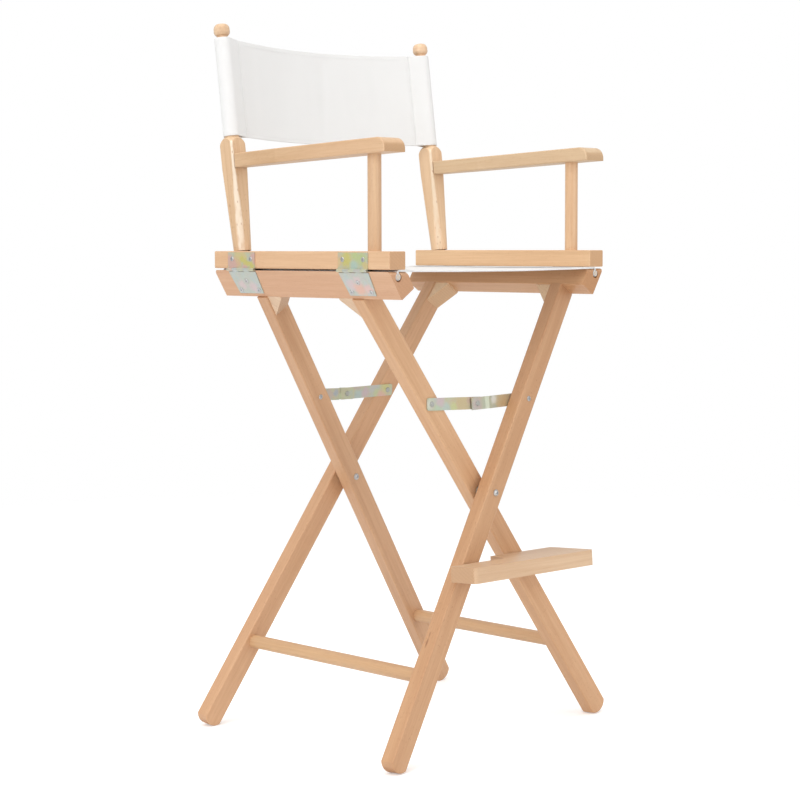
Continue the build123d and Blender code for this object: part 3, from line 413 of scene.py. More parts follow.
# piece: grain direction, tint of the light wood, tint of the dark wood, fleck strength.
# A piece's place in the table is its texture seed.
WOOD = {
    "leg_front_outer": (leg_dir(-1, -1), (0.97, 0.94, 0.93), (0.98, 0.93, 0.92), 1.3),
    "leg_rear_outer": (leg_dir(-1, 1), (0.98, 0.96, 0.95), (1.0, 0.97, 0.96), 1.0),
    "leg_front_inner": (leg_dir(1, -1), (0.97, 0.95, 0.94), (1.0, 0.96, 0.94), 0.9),
    "leg_rear_inner": (leg_dir(1, 1), (0.99, 0.96, 0.95), (1.0, 0.96, 0.95), 0.9),
    "stretcher_outer": (DEPTH, (1.0, 1.0, 0.97), PLAIN, 0.6),
    "stretcher_inner": (DEPTH, PLAIN, PLAIN, 0.6),
    # lower_rail_left's darker, browner tint here is painted shade, for the seat cloth's shade on
    # the far lower rail
    "lower_rail_left": (DEPTH, (0.97, 0.94, 0.94), (1.0, 0.95, 0.95), 0.8),
    "lower_rail_right": (DEPTH, (1.0, 0.955, 0.985), (1.04, 0.98, 1.04), 0.7),
    "corner_blocks_left": ((0.35, 0.8, 0.4), PLAIN, PLAIN, 1.4),
    "corner_blocks_right": ((-0.35, 0.8, 0.4), PLAIN, PLAIN, 1.4),
    "upper_rail_left": (DEPTH, (1.03, 1.03, 1.0), (1.06, 1.08, 1.05), 0.6),
    "upper_rail_right": (DEPTH, (1.02, 1.01, 1.0), (1.06, 1.06, 1.05), 0.6),
    "back_post_left": (POST_DIR, (1.04, 1.05, 1.05), (1.05, 1.06, 1.05), 0.7),
    "back_post_right": (POST_DIR, (1.04, 1.05, 1.05), (1.05, 1.06, 1.05), 1.5),
    "front_post_left": (UPRIGHT, (1.0, 1.0, 0.98), PLAIN, 0.6),
    "front_post_right": (UPRIGHT, (1.0, 1.0, 0.98), PLAIN, 0.6),
    "armrest_left": (ARM_DIR, (1.0, 1.0, 0.96), (1.03, 1.03, 0.98), 0.6),
    "armrest_right": (ARM_DIR, (1.0, 1.0, 0.96), (1.03, 1.03, 0.98), 0.6),
    "footrest_board": ((1, -0.05, 0), (1.0, 1.0, 0.98), (1.05, 1.05, 1.03), 0.5),
    "seat_rod_left": (DEPTH, PLAIN, PLAIN, 0.2),
    "seat_rod_right": (DEPTH, PLAIN, PLAIN, 0.2),
}
# further tints for every piece whose name starts so; they multiply up
GROUP_TINTS = {
    "leg_front_outer": (0.96, 0.93, 0.88), "leg_front_inner": (1.08, 1.09, 1.08),
    "leg_rear_outer": (1.07, 1.07, 1.08), "back_post_right": (0.93, 0.90, 0.86),
    # lower_rail_left's extra darker, browner tint is painted shade, for the seat cloth's shade on
    # the far lower rail
    "armrest_left": (1.04, 1.13, 1.21), "lower_rail_left": (0.93, 0.86, 0.76),
    "upper_rail_left": (1.02, 1.03, 1.02), "corner_blocks_left": (1.14, 1.16, 1.10),
    "footrest_board": (1.0, 1.04, 1.10), "leg": (0.86, 0.78, 0.71),
    "stretcher": (0.89, 0.83, 0.74), "lower_rail": (0.93, 0.88, 0.82),
    "upper_rail": (0.96, 0.93, 0.90), "armrest": (0.91, 0.91, 0.90),
    "footrest": (0.91, 0.89, 0.87), "back_post": (1.0, 1.04, 1.06),
    "corner": (0.97, 1.03, 1.12), "front_post": (0.98, 0.97, 0.95),
    "back_post_left": (1.05, 1.04, 1.03), "front_post_left": (1.05, 1.04, 1.03),
}
# point, length along the grain, width, strength
KNOTS = {
    "leg_front_outer": [((-0.1663, -0.1954, 0.1843), 0.012, 0.0028, 0.75),
                        ((-0.1585, -0.1943, 0.1959), 0.007, 0.002, 0.55)],
    "back_post_right": [((-0.2455, 0.170, 0.862), 0.006, 0.0022, 0.45),
                        ((-0.2455, 0.168, 0.850), 0.005, 0.0018, 0.4),
                        ((-0.2455, 0.166, 0.838), 0.006, 0.002, 0.45)],
}
# painted highlight, as pale bands up the posts' front edge on the -X side: foot, half widths
# at the two ends, length, colour, strength
RIDGE_HIGHLIGHT_BANDS = {
    "back_post_right": [((-POST_X - POST_EDGE, POST_Y - POST_EDGE, POST_Z),
                         (0.0100, 0.0030), 0.175, (0.90, 0.78, 0.63), 0.85)],
    "back_post_left": [((POST_X - POST_EDGE, POST_Y - POST_EDGE, POST_Z),
                        (0.0090, 0.0028), 0.175, (0.88, 0.74, 0.57), 0.70)],
}
# changes of tone: direction, where it starts and ends along it, tint beyond; on the armrests
# these are painted shade behind the bend and painted light towards the front
POST_TOP_TONE = (UPRIGHT, (1.112, 1.118), (1.05, 1.08, 1.15))
TONE_AND_SHADE_STEPS = {
    "back_post_right": [POST_TOP_TONE],
    "back_post_left": [POST_TOP_TONE],
    # painted shade: the armrests are darker behind the bend, and the right one is painted lighter
    # towards its front, standing in for the shading change at the bend
    "armrest_right": [(DEPTH, (0.048, 0.052), (0.965, 0.95, 0.925)),
                      ((0, -1, 0), (-0.046, 0.10), (1.05, 1.04, 1.06))],
    "armrest_left": [(DEPTH, (0.048, 0.052), (0.975, 0.965, 0.95))],
}


def finish_wood():
    for seed, (piece, row) in enumerate(WOOD.items(), start=1):
        grain, light_tint, dark_tint, fleck = row
        is_rod = piece.startswith("seat_rod")
        light = tint(ROD_LIGHT if is_rod else LIGHT, light_tint)
        dark = tint(ROD_DARK if is_rod else DARK, dark_tint)
        for start, factors in GROUP_TINTS.items():
            if piece.startswith(start):
                light, dark = tint(light, factors), tint(dark, factors)
        assign(piece, beech("beech_" + piece, grain, seed, light, dark, fleck,
                            knots=KNOTS.get(piece, ()), ridge_highlights=RIDGE_HIGHLIGHT_BANDS.get(piece, ()),
                            tone_and_shade_steps=TONE_AND_SHADE_STEPS.get(piece, ())))


finish_wood()

# ---------------------------------------------------------------- metal parts
PINK, SALMON, ROSE = (0.72, 0.45, 0.40), (0.72, 0.46, 0.38), (0.66, 0.53, 0.53)
YELLOW, OCHRE, ORANGE = (0.66, 0.60, 0.16), (0.70, 0.58, 0.26), (0.76, 0.54, 0.27)
GREEN, CYAN, PALE = (0.54, 0.63, 0.27), (0.47, 0.62, 0.54), (0.515, 0.552, 0.55)
# Stains. Upper right hinge leaves: y, z, radius, colour, all on their outer face.
UPPER_SPOTS = [(-0.2525, *row) for row in (
    (0.144, 0.770, 0.014, (0.74, 0.50, 0.28)), (0.155, 0.766, 0.014, PINK),
    (0.164, 0.776, 0.011, PINK), (0.124, 0.763, 0.009, PINK), (0.140, 0.783, 0.012, OCHRE),
    (0.128, 0.779, 0.010, OCHRE), (0.132, 0.775, 0.007, YELLOW), (0.124, 0.771, 0.007, YELLOW),
    (0.116, 0.768, 0.007, YELLOW), (0.108, 0.765, 0.008, YELLOW), (0.106, 0.780, 0.009, PINK),
    (0.102, 0.772, 0.006, SALMON), (-0.094, 0.772, 0.009, ORANGE),
    (-0.112, 0.776, 0.015, YELLOW), (-0.128, 0.767, 0.011, CYAN), (-0.145, 0.776, 0.014, GREEN),
    (-0.130, 0.781, 0.010, GREEN), (-0.152, 0.766, 0.008, OCHRE))]
# The other stains: x, y, z, radius, colour.
LOWER_SPOTS = [
    (-0.239, 0.146, 0.735, 0.010, ROSE), (-0.2365, 0.122, 0.731, 0.011, ROSE),
    (-0.240, -0.110, 0.737, 0.013, ROSE), (-0.2365, -0.125, 0.731, 0.015, (0.77, 0.46, 0.36)),
    (-0.2365, -0.143, 0.731, 0.011, (0.74, 0.50, 0.46)), (-0.244, -0.126, 0.744, 0.010, ROSE)]
FRONT_LONG_SPOTS = [
    (-0.030, FRONT_STAY_Y, 0.545, 0.026, (0.62, 0.49, 0.27)),
    (-0.010, FRONT_STAY_Y, 0.549, 0.012, (0.62, 0.46, 0.36)),
    (-0.050, FRONT_STAY_Y, 0.540, 0.010, (0.60, 0.62, 0.30)),
    (-0.068, FRONT_STAY_Y, 0.540, 0.011, (0.50, 0.60, 0.54)),
    (-0.084, FRONT_STAY_Y, 0.539, 0.012, (0.50, 0.62, 0.46)),
    (-0.079, FRONT_STAY_Y, 0.552, 0.013, (0.63, 0.50, 0.52)),
    (-0.102, FRONT_STAY_Y, 0.547, 0.011, (0.66, 0.68, 0.58))]
FRONT_SHORT_SPOTS = [
    (0.0, -0.148, 0.543, 0.015, (0.56, 0.46, 0.44)),
    (0.020, -0.149, 0.544, 0.015, (0.50, 0.53, 0.40)),
    (0.037, -0.149, 0.548, 0.010, (0.80, 0.79, 0.72)),
    (0.058, -0.150, 0.545, 0.018, (0.63, 0.50, 0.28))]
REAR_LONG_SPOTS = [
    (0.006, REAR_STAY_Y, 0.543, 0.012, (0.70, 0.65, 0.22)),
    (0.027, REAR_STAY_Y, 0.540, 0.013, (0.46, 0.56, 0.54)),
    (0.044, REAR_STAY_Y, 0.543, 0.012, (0.60, 0.48, 0.52)),
    (0.062, REAR_STAY_Y, 0.549, 0.013, (0.54, 0.55, 0.53)),
    (0.070, REAR_STAY_Y, 0.541, 0.010, (0.56, 0.60, 0.34)),
    (0.082, REAR_STAY_Y, 0.537, 0.012, (0.74, 0.46, 0.40)),
    (0.090, REAR_STAY_Y, 0.550, 0.014, (0.64, 0.60, 0.26))]
REAR_SHORT_SPOTS = [
    (-0.050, 0.147, 0.545, 0.014, (0.60, 0.50, 0.44)),
    (-0.033, 0.148, 0.547, 0.008, (0.42, 0.48, 0.54)),
    (-0.018, 0.150, 0.539, 0.011, (0.54, 0.60, 0.38)),
    # the last spot is a small dark brown mark in the stay's upper half, over a dark notch
    (-0.020, 0.150, 0.550, 0.006, (0.30, 0.24, 0.14))]


def mirrored(spots):
    """Every second stain, on the other side of the chair."""
    return [(-x, *rest) for x, *rest in spots[::2]]


# piece, material, seed, pale base colour, share of the base, stains
ZINC = [
    ("hinge_leaves_upper_right", "upper_right", 0.3, (0.64, 0.60, 0.44), 0.45, UPPER_SPOTS),
    ("hinge_leaves_lower_right", "lower_right", 1.1, PALE, 0.72, LOWER_SPOTS),
    ("hinge_leaves_upper_left", "upper_left", 2.2, (0.60, 0.62, 0.50), 0.45,
     mirrored(UPPER_SPOTS)),
    ("hinge_leaves_lower_left", "lower_left", 3.4, PALE, 0.72, mirrored(LOWER_SPOTS)),
    ("front_stay_long", "front_long", 4.0, (0.58, 0.56, 0.44), 0.45, FRONT_LONG_SPOTS),
    ("front_stay_short", "front_short", 5.0, (0.54, 0.48, 0.36), 0.45, FRONT_SHORT_SPOTS),
    ("rear_stay_long", "rear_long", 6.0, (0.56, 0.54, 0.42), 0.45, REAR_LONG_SPOTS),
    ("rear_stay_short", "rear_short", 7.0, (0.56, 0.56, 0.42), 0.45, REAR_SHORT_SPOTS),
]
# material, tone, roughness, pieces
STEELS = [
    ("bright_screws", (0.66, 0.66, 0.67), 0.28, (
        "hinge_screws_upper_left", "hinge_screws_upper_right", "hinge_screws_lower_left",
        "hinge_screws_lower_right", "front_stay_screw", "rear_stay_screw", "pivot_bolts",
        "footrest_bolt", "footrest_peg")),
    ("dull_zinc", (0.55, 0.56, 0.53), 0.38, (
        "front_stay_rivet", "front_stay_mid_rivet", "rear_stay_rivet", "rear_stay_mid_rivet",
        "pivot_nuts", "pivot_spacers")),
    ("pin_steel", (0.50, 0.50, 0.47), 0.34, ("hinge_pins_left", "hinge_pins_right")),
]
for piece, label, *look in ZINC:
    assign(piece, zinc("zinc_" + label, *look))
for label, tone, rough, pieces in STEELS:
    steel = bright(label, tone, rough)
    for piece in pieces:
        assign(piece, steel)

# ---------------------------------------------------------------- mesh helpers
CANVAS = canvas("white_canvas")
THREAD = thread("white_thread")


def side_name(side):
    return "left" if side > 0 else "right"


def wander(x, y, z):
    return noise.noise(Vector((x, y, z)))


def lengths_along(points):
    total = [0.0]
    for here, there in zip(points, points[1:]):
        total.append(total[-1] + math.dist(here, there))
    return total


def add_object(name, bm):
    mesh = bpy.data.meshes.new(name)
    bm.to_mesh(mesh)
    bm.free()
    obj = bpy.data.objects.new(name, mesh)
    bpy.context.scene.collection.objects.link(obj)
    return obj


def cloth(name, rows, thick, us, vs):
    """Closed sheet about the centre surface rows[i][j], with rounded rims.

    thick[j] is its thickness; its UVs are (us[i], vs[j]).
    """
    m, n = len(rows), len(rows[0])
    bm = bmesh.new()
    layer = bm.loops.layers.uv.new("UVMap")

    def normal(i, j):
        down = rows[min(i + 1, m - 1)][j] - rows[max(i - 1, 0)][j]
        across = rows[i][min(j + 1, n - 1)] - rows[i][max(j - 1, 0)]
        return down.cross(across).normalized()

    def skin(side):
        return [[bm.verts.new(rows[i][j] + normal(i, j) * (side * thick[j] / 2))
                 for j in range(n)] for i in range(m)]

    def quad(verts, cells):
        face = bm.faces.new(verts)
        face.smooth = True
        for loop, (i, j) in zip(face.loops, cells):
            loop[layer].uv = (us[i], vs[j])

    front, back = skin(1), skin(-1)
    for i in range(m - 1):
        for j in range(n - 1):
            cells = [(i, j), (i + 1, j), (i + 1, j + 1), (i, j + 1)]
            quad([front[a][b] for a, b in cells], cells)
            quad([back[a][b] for a, b in cells[::-1]], cells[::-1])
    # the rim bulges through one middle row
    rim = [(i, 0) for i in range(m)] + [(m - 1, j) for j in range(1, n)]
    rim += [(i, n - 1) for i in range(m - 2, -1, -1)] + [(0, j) for j in range(n - 2, 0, -1)]
    middle = {}
    for i, j in rim:
        out = Vector((0, 0, 0))
        inward = ((i == 0, 1, j), (i == m - 1, m - 2, j), (j == 0, i, 1), (j == n - 1, i, n - 2))
        for on_edge, a, b in inward:
            if on_edge:
                out += (rows[i][j] - rows[a][b]).normalized()
        middle[(i, j)] = bm.verts.new(rows[i][j] + out.normalized() * thick[j] * 0.32)
    for here, there in zip(rim, rim[1:] + rim[:1]):
        (i, j), (a, b) = here, there
        cells = [here, here, there, there]
        quad([front[i][j], middle[here], middle[there], front[a][b]], cells)
        quad([middle[here], back[i][j], back[a][b], middle[there]], cells)
    bmesh.ops.recalc_face_normals(bm, faces=bm.faces)
    obj = add_object(name, bm)
    obj.data.materials.append(CANVAS)
    return obj


# one stitch: place along it, width, height
STITCH_PROFILE = [(-0.5, 0.25, -0.6), (-0.42, 0.75, 0.1), (-0.2, 1.0, 0.75),
                  (0.2, 1.0, 0.75), (0.42, 0.75, 0.1), (0.5, 0.25, -0.6)]


def add_stitch(bm, start, end, normal):
    """One short rounded stitch of hexagonal section."""
    along = (end - start).normalized()
    side = along.cross(normal).normalized()
    centre = (start + end) / 2
    rings = []
    for place_along, width, height in STITCH_PROFILE:
        middle = centre + along * (place_along * STITCH_LENGTH)
        middle += normal * (height * STITCH_R * 0.55)
        radius = STITCH_R * width
        rings.append([bm.verts.new(middle + side * (math.cos(k * math.pi / 3) * radius)
                                   + normal * (math.sin(k * math.pi / 3) * radius))
                      for k in range(6)])
    for ring, following in zip(rings, rings[1:]):
        for k in range(6):
            q = (k + 1) % 6
            bm.faces.new((ring[k], ring[q], following[q], following[k])).smooth = True
    bm.faces.new(rings[0][::-1])
    bm.faces.new(rings[-1])


def stitches(name, lines):
    """Stitches along lines of (point, normal) samples."""
    bm = bmesh.new()
    for line in lines:
        total = lengths_along([point for point, _ in line])

        def sample(distance):
            i = 0
            while i < len(total) - 2 and total[i + 1] < distance:
                i += 1
            share = (distance - total[i]) / max(1e-9, total[i + 1] - total[i])
            (point, normal), (next_point, next_normal) = line[i], line[i + 1]
            return point.lerp(next_point, share), normal.lerp(next_normal, share).normalized()

        for k in range(int(total[-1] / STITCH_PITCH)):
            centre = (k + 0.5) * STITCH_PITCH
            start, normal = sample(centre - STITCH_LENGTH / 2)
            end, _ = sample(centre + STITCH_LENGTH / 2)
            add_stitch(bm, start, end, normal)
    bmesh.ops.recalc_face_normals(bm, faces=bm.faces)
    obj = add_object(name, bm)
    obj.data.materials.append(THREAD)
    return obj


def hemmed_steps(width, hem, hem_step, count):
    """Stations across a cloth from 0 to width, denser at its two hems."""
    inner = hem + 0.0006
    edge = [0, 0.0012, 0.004, hem_step, hem - 0.0008, inner]
    middle = [inner + (width - 2 * inner) * k / count for k in range(1, count)]
    return edge + middle + [width - step for step in edge[::-1]]


def hem_thickness(from_edge, hem, extra):
    return CLOTH * (1.0 + extra) if from_edge <= hem - 0.0007 else CLOTH


# ---------------------------------------------------------------- back canvas
# In this section v runs from 0 at the cloth's bottom edge to 1 at its top edge.
def on_back(x, rear, up):
    """Point from x, distance behind the post axis square to it, and distance up the post."""
    y = POST_Y + MID_Y + math.sin(LEAN) * up + math.cos(LEAN) * rear
    return Vector((x, y, POST_Z + math.cos(LEAN) * up - math.sin(LEAN) * rear))


# soft creases: centre x, width, height, slant
CREASES = [(0.010, 0.010, 0.0011, 0.012), (0.062, 0.018, -0.0008, -0.010),
           (-0.085, 0.022, 0.0009, 0.015), (0.130, 0.012, 0.0007, -0.02),
           (-0.150, 0.010, -0.0006, 0.004)]


def ripple(x, v):
    """Creases of a taut cloth."""
    swell = 0.35 + 0.65 * math.sin(math.pi * v) ** 0.7
    height = 0.0
    for centre, width, crest, slant in CREASES:
        away = x - (centre + slant * (v - 0.5))
        height += crest * math.exp(-(away / width) ** 2) * swell
    height += 0.0006 * wander(x * 14, v * 1.6, 3.1)
    height += 0.00025 * wander(x * 60, v * 4, 7.7)
    # pull lines near the seams
    from_seam = min(abs(abs(x) - PANEL_HALF) / 0.03, 1.0)
    pull = math.sin(v * 46 + 2.0 * wander(x * 9, v * 5, 1.0))
    return height + 0.00035 * (1 - from_seam) * pull


def panel_rear(x, v, side=1):
    """Rearward bow between the seams, with the creases found at side * x."""
    bow = 0.0270 + 0.0030 * v
    return SEAM_Y + bow * (1 - (x / PANEL_HALF) ** 2) + ripple(side * x, v)


def up_post(x, v):
    """Distance up the post; the top and bottom edges sag between the posts."""
    middle = max(0.0, 1 - (abs(x) / POST_X) ** 2)
    return BACK_LOW + BACK_HEIGHT * v - middle * (0.0015 * v + 0.0012 * (1 - v))


def on_panel(x, v):
    return on_back(x, panel_rear(x, v), up_post(x, v))


BACK_UP = hemmed_steps(BACK_HEIGHT, BACK_HEM, hem_step=0.0062, count=30)
BACK_VS = [up / BACK_HEIGHT for up in BACK_UP]
BACK_THICK = [hem_thickness(min(v, 1 - v) * BACK_HEIGHT, BACK_HEM, BACK_HEM_EXTRA)
              for v in BACK_VS]


def back_panel():
    xs = [-PANEL_HALF + 2 * PANEL_HALF * i / 120 for i in range(121)]
    rows = [[on_panel(x, v) for v in BACK_VS] for x in xs]
    return cloth("back_canvas_panel", rows, BACK_THICK, xs, BACK_UP)


def post_tangent(x, y, turn):
    """Where a line from (x, y) touches the sleeve's circle: turn 1 behind, -1 in front."""
    reach = math.hypot(POST_X - x, y)
    angle = math.atan2(-y, POST_X - x) + turn * math.asin(SLEEVE_R / reach)
    run = math.sqrt(reach * reach - SLEEVE_R * SLEEVE_R)
    return x + run * math.cos(angle), y + run * math.sin(angle)


def sleeve_path(side, v):
    """(x, rear) points: rear flap, round the outside of the post, forward to the seam."""
    gap = CLOTH * 1.06
    points = []
    for inboard in (FLAP, FLAP - 0.003, SEW + 0.002, SEW):
        x = POST_X - inboard
        points.append((x, panel_rear(x, v, side) + gap))

    def straight(start, end, count, slack):
        for k in range(1, count + 1):
            share = k / (count + (end is behind))
            points.append((start[0] + (end[0] - start[0]) * share,
                           start[1] + (end[1] - start[1]) * share
                           + slack * math.sin(math.pi * share)))

    behind = post_tangent(*points[-1], turn=1)
    straight(points[-1], behind, count=7, slack=0.0004)
    seam = PANEL_HALF, panel_rear(PANEL_HALF, v, side)
    ahead = post_tangent(*seam, turn=-1)
    first = math.atan2(behind[1], behind[0] - POST_X)
    last = math.atan2(ahead[1], ahead[0] - POST_X)
    for k in range(27):
        angle = first + (last - first) * k / 26
        points.append((POST_X + SLEEVE_R * math.cos(angle), SLEEVE_R * math.sin(angle)))
    straight(ahead, seam, count=10, slack=0.0005)
    return points


def sleeve(side):
    paths = [sleeve_path(side, v) for v in BACK_VS]
    count = len(paths[0])
    rows = []
    for i in range(count):
        fade = min(1.0, (count - 1 - i) / 4)  # no waver at the seam
        row = []
        for path, v in zip(paths, BACK_VS):
            x, rear = path[i]
            waver = 0.00022 * wander(i * 0.33, v * 9, 5.0 + side) * fade
            row.append(on_back(side * x, rear + waver, up_post(x, v)))
        rows.append(row)
    along = lengths_along(paths[len(BACK_VS) // 2])
    us = [side * (PANEL_HALF + along[-1] - length) for length in along]
    return cloth("back_canvas_sleeve_" + side_name(side), rows, BACK_THICK, us, BACK_UP)


def panel_sample(x, v, offset):
    """Stitch sample on the panel's front (offset > 0) or rear face."""
    e = 0.001
    rise = on_panel(x, v + e) - on_panel(x, v - e)
    normal = rise.cross(on_panel(x + e, v) - on_panel(x - e, v)).normalized()
    if normal.y > 0:
        normal = -normal
    return on_panel(x, v) + normal * offset, normal if offset > 0 else -normal


def back_hem_stitches():
    end = PANEL_HALF - (FLAP - SEW + 0.006)  # they stop short of the sleeves' flaps
    inset = (BACK_HEM - STITCH_INSET) / BACK_HEIGHT
    out = CLOTH * (1.0 + BACK_HEM_EXTRA) / 2
    lines = [[panel_sample(-end + 2 * end * i / 160, v, face * out) for i in range(161)]
             for v in (inset, 1 - inset) for face in (1, -1)]
    return stitches("back_canvas_hem_stitches", lines)


def back_seam_stitches(side):
    """Two rows just inboard of the seam."""
    lines = [[panel_sample(side * (PANEL_HALF - row), 0.012 + 0.976 * i / 60, CLOTH / 2)
              for i in range(61)] for row in (0.0014, 0.0056)]
    return stitches("back_canvas_seam_stitches_" + side_name(side), lines)


panel = back_panel()
sleeves = {side: sleeve(side) for side in (-1, 1)}
hem_thread = back_hem_stitches()
seam_thread = {side: back_seam_stitches(side) for side in (-1, 1)}

# ---------------------------------------------------------------- seat canvas
SEAT_YS = [step - SEAT_Y for step in hemmed_steps(2 * SEAT_Y, SEAT_HEM, 0.008, count=44)]


def seat_z(x, y):
    """Taut cloth with a slight sag and soft pull lines."""
    middle = max(0.0, 1 - (abs(x) / SEAT_CUT) ** 2)
    sag = 0.55 + 0.45 * (1 - (abs(y) / SEAT_Y) ** 2)
    z = SEAT_Z - 0.0032 * middle * sag
    z += 0.0005 * middle * wander(x * 9, y * 5, 2.0)
    return z + 0.00022 * middle * wander(x * 6, y * 40, 9.0)


def seat_sheet(side):
    """Half the seat, from the middle out to the cut."""
    xs = [SEAT_CUT * i / 70 for i in range(71)]
    if side < 0:
        xs = [-x for x in xs[::-1]]
    rows = [[Vector(placed((x, y, seat_z(x, y)))) for y in SEAT_YS] for x in xs]
    thick = [hem_thickness(SEAT_Y - abs(y), SEAT_HEM, SEAT_HEM_EXTRA) for y in SEAT_YS]
    return cloth("seat_canvas_sheet_" + side_name(side), rows, thick, xs, SEAT_YS)


def slot_bend(slot_x, top, radius):
    """Rounded corner from a layer in the slot up and inboard to the seat."""
    angles = [math.pi / 2 * k / 6 for k in range(1, 6)]
    return [(slot_x - radius + radius * math.cos(angle), top - radius + radius * math.sin(angle))
            for angle in angles]


def seat_hem(side):
    """Hem edge on top, down the slot, round the rod and back up to the sheet."""
    top = SEAT_Z + CLOTH * 1.03
    flap = [(x, top) for x in (0.2015, 0.2045, 0.208, 0.214, 0.220, 0.226, 0.2295)]
    outer, inner = ROD_X + SLOT_HALF, ROD_X - SLOT_HALF
    points = flap + slot_bend(outer, top, radius=0.0028)[::-1] + [(outer, SLOT_TOP)]
    mouth = math.asin(SLOT_HALF / ROD_LOOP_R)
    for k in range(25):
        angle = math.pi / 2 - mouth - (2 * math.pi - 2 * mouth) * k / 24
        points.append((ROD_X + ROD_LOOP_R * math.cos(angle),
                       ROD_Z + ROD_LOOP_R * math.sin(angle)))
    points += [(inner, SLOT_TOP)] + slot_bend(inner, SEAT_Z, radius=0.0018)
    points += [(0.2296, SEAT_Z), (SEAT_CUT, SEAT_Z)]
    rows = []
    for i, (x, z) in enumerate(points):
        waver = 0.00012 if i < len(flap) else 0
        rows.append([Vector(placed((side * x, y, z + waver * wander(i * 0.5, y * 60, 4.0))))
                     for y in SEAT_YS])
    along = lengths_along(points)
    us = [side * (SEAT_CUT + along[-1] - length) for length in along]
    thick = [CLOTH * 0.96] * len(SEAT_YS)
    return cloth("seat_canvas_hem_" + side_name(side), rows, thick, us, SEAT_YS)


def seat_seam_stitches(side):
    """One row along the flap's free edge."""
    x, z, half = 0.2062, SEAT_Z + CLOTH * 1.5, SEAT_Y - 0.004
    line = [(Vector(placed((side * x, -half + 2 * half * i / 60, z))), Vector((0, 0, 1)))
            for i in range(61)]
    return stitches("seat_canvas_seam_stitches_" + side_name(side), [line])


def seat_edge_stitches(side):
    """Rows on both faces of the front and rear hems."""
    xs = [0.001 + 0.200 * i / 80 for i in range(81)]
    out = CLOTH * (1.0 + SEAT_HEM_EXTRA) / 2
    row_y = SEAT_Y - SEAT_HEM + STITCH_INSET
    lines = [[(Vector(placed((side * x, y, seat_z(x, y) + face * out))), Vector((0, 0, face)))
              for x in xs] for y in (-row_y, row_y) for face in (1, -1)]
    return stitches("seat_canvas_edge_stitches_" + side_name(side), lines)


sheets = {side: seat_sheet(side) for side in (-1, 1)}
hems = {side: seat_hem(side) for side in (-1, 1)}
flap_thread, edge_thread = {}, {}
for side in (-1, 1):
    flap_thread[side] = seat_seam_stitches(side)
    edge_thread[side] = seat_edge_stitches(side)

for parts in (sleeves, seam_thread):
    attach(parts[-1], "right_arm")
    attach(parts[1], "left_arm")
for obj in (panel, hem_thread):
    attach(obj, "right_arm")
    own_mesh(obj)
for side, body in ((-1, "inner_frame"), (1, "outer_frame")):
    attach(hems[side], body)
    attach(flap_thread[side], body)
    for obj in (sheets[side], edge_thread[side]):
        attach(obj, body)
        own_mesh(obj)
back_cloth = (panel, *sleeves.values())
seat_cloth = (*sheets.values(), *hems.values())
for obj in back_cloth:
    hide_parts("back_canvas")
for obj in seat_cloth:
    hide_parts("seat_canvas")


# ---------------------------------------------------------------- camera, floor and light
def add_camera():
    data = bpy.data.cameras.new("camera")
    camera = bpy.data.objects.new("camera", data)
    bpy.context.scene.collection.objects.link(camera)
    yaw, pitch, roll = math.radians(-45.251), math.radians(-4.416), math.radians(-0.134)
    ahead = Vector((-math.sin(yaw) * math.cos(pitch), math.cos(yaw) * math.cos(pitch),
                    math.sin(pitch)))
    level = Vector((math.cos(yaw), math.sin(yaw), 0))
    above = level.cross(ahead)
    right = level * math.cos(roll) + above * math.sin(roll)
    top = above * math.cos(roll) - level * math.sin(roll)
    turn = Matrix((right, top, -ahead)).transposed().to_4x4()
    camera.matrix_world = Matrix.Translation(placed((-2.32903, -2.27924, 0.79855))) @ turn
    data.sensor_width = 36
    data.lens = 88.57368
    data.shift_x, data.shift_y = 0.0017475, -0.00475125
    data.clip_end = 100
    bpy.context.scene.camera = camera


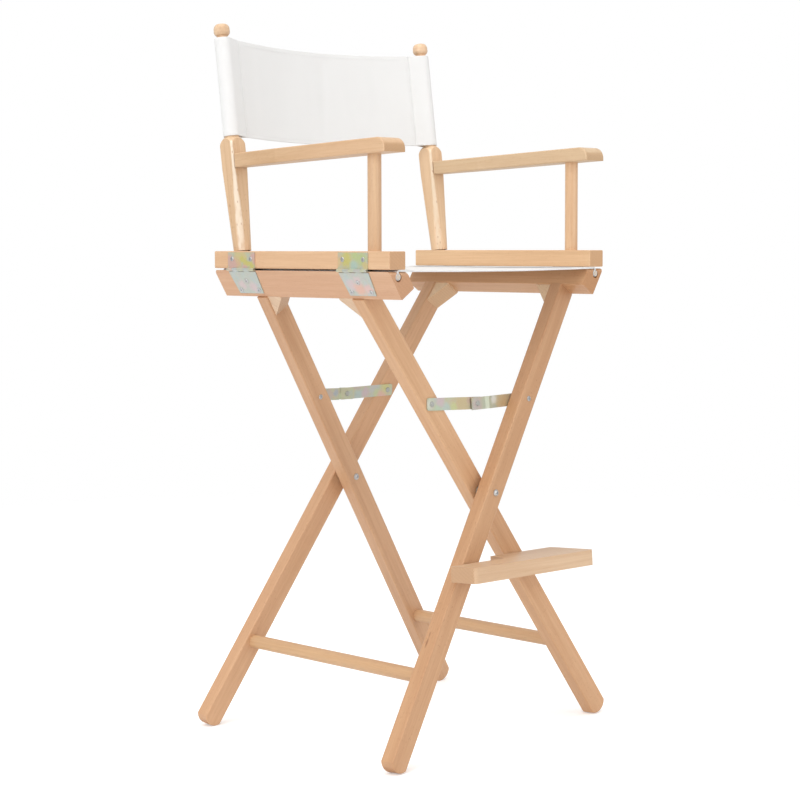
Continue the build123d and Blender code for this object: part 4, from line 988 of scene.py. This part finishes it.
def pale_floor():
    """Matt white, a little brighter to the camera, fading out away from the chair."""
    mat = Shader("pale_floor")
    away = mat.vec("LENGTH", mat.object)
    speck = mat.noise(mat.object, scale=60.0)
    camera_ray = mat.node("LightPath").outputs["Is Camera Ray"]
    seen = mat.ramp(speck, [(0.3, gray(0.90)), (0.7, gray(0.93))])
    unseen = mat.ramp(speck, [(0.3, gray(0.80)), (0.7, gray(0.84))])
    glow, camera_glow = 0.12, 0.20
    mat.surface({
        "Base Color": mat.mix(camera_ray, unseen, seen), "Roughness": 0.85,
        "Specular IOR Level": 0.1, "Emission Color": gray(1),
        "Emission Strength": mat.add(mat.mul(camera_ray, camera_glow), glow)})
    clear = mat.node("BsdfTransparent")
    fade = mat.step(away, span=(1.2, 3.2))
    mix = mat.node("MixShader", {0: fade, 1: mat.bsdf.outputs[0], 2: clear.outputs[0]})
    mat.fill(mat.output, {0: mix.outputs[0]})
    return mat.material


def add_floor():
    radius, count = 14, 64
    bm = bmesh.new()
    angles = [2 * math.pi * k / count for k in range(count)]
    bm.faces.new([bm.verts.new((radius * math.cos(angle), radius * math.sin(angle), 0))
                  for angle in angles])
    floor = add_object("floor", bm)
    floor.data.materials.append(pale_floor())


def add_world():
    """White to the camera; for lighting, a grey that brightens upward."""
    world = bpy.data.worlds.new("studio")
    bpy.context.scene.world = world
    sky = Nodes(world)
    output = sky.node("OutputWorld")
    camera_ray = sky.node("LightPath").outputs["Is Camera Ray"]
    seen = sky.node("Background", {0: gray(1), 1: 1.0})
    height = sky.node("SeparateXYZ", {0: sky.node("TexCoord").outputs["Generated"]}).outputs[2]
    # height span, then strength at its ends
    strength = sky.node("MapRange", {0: height, 1: -0.6, 2: 0.8, 3: 0.47, 4: 0.80})
    unseen = sky.node("Background", {0: gray(1), 1: strength.outputs[0]})
    mix = sky.node("MixShader", {0: camera_ray, 1: unseen.outputs[0], 2: seen.outputs[0]})
    sky.fill(output, {0: mix.outputs[0]})


def area(name, location, target, size, power):
    light = bpy.data.lights.new(name, "AREA")
    light.shape = "RECTANGLE"
    light.size = light.size_y = size
    light.energy = power
    obj = bpy.data.objects.new(name, light)
    bpy.context.scene.collection.objects.link(obj)
    obj.location = location
    aim = Vector(target) - Vector(location)
    obj.rotation_euler = aim.to_track_quat("-Z", "Y").to_euler()


add_camera()
add_floor()
add_world()
area("key_left", location=(-3.6, -0.6, 2.0), target=(0, 0, 0.7), size=2.4, power=48)
area("top", location=(-0.6, -0.2, 3.6), target=(0, 0, 0.6), size=2.6, power=37)
area("front_fill", location=(0.6, -3.8, 1.5), target=(0, 0, 0.6), size=2.4, power=29)

bpy.context.scene.view_settings.view_transform = "Standard"
bpy.context.scene.view_settings.look = "None"
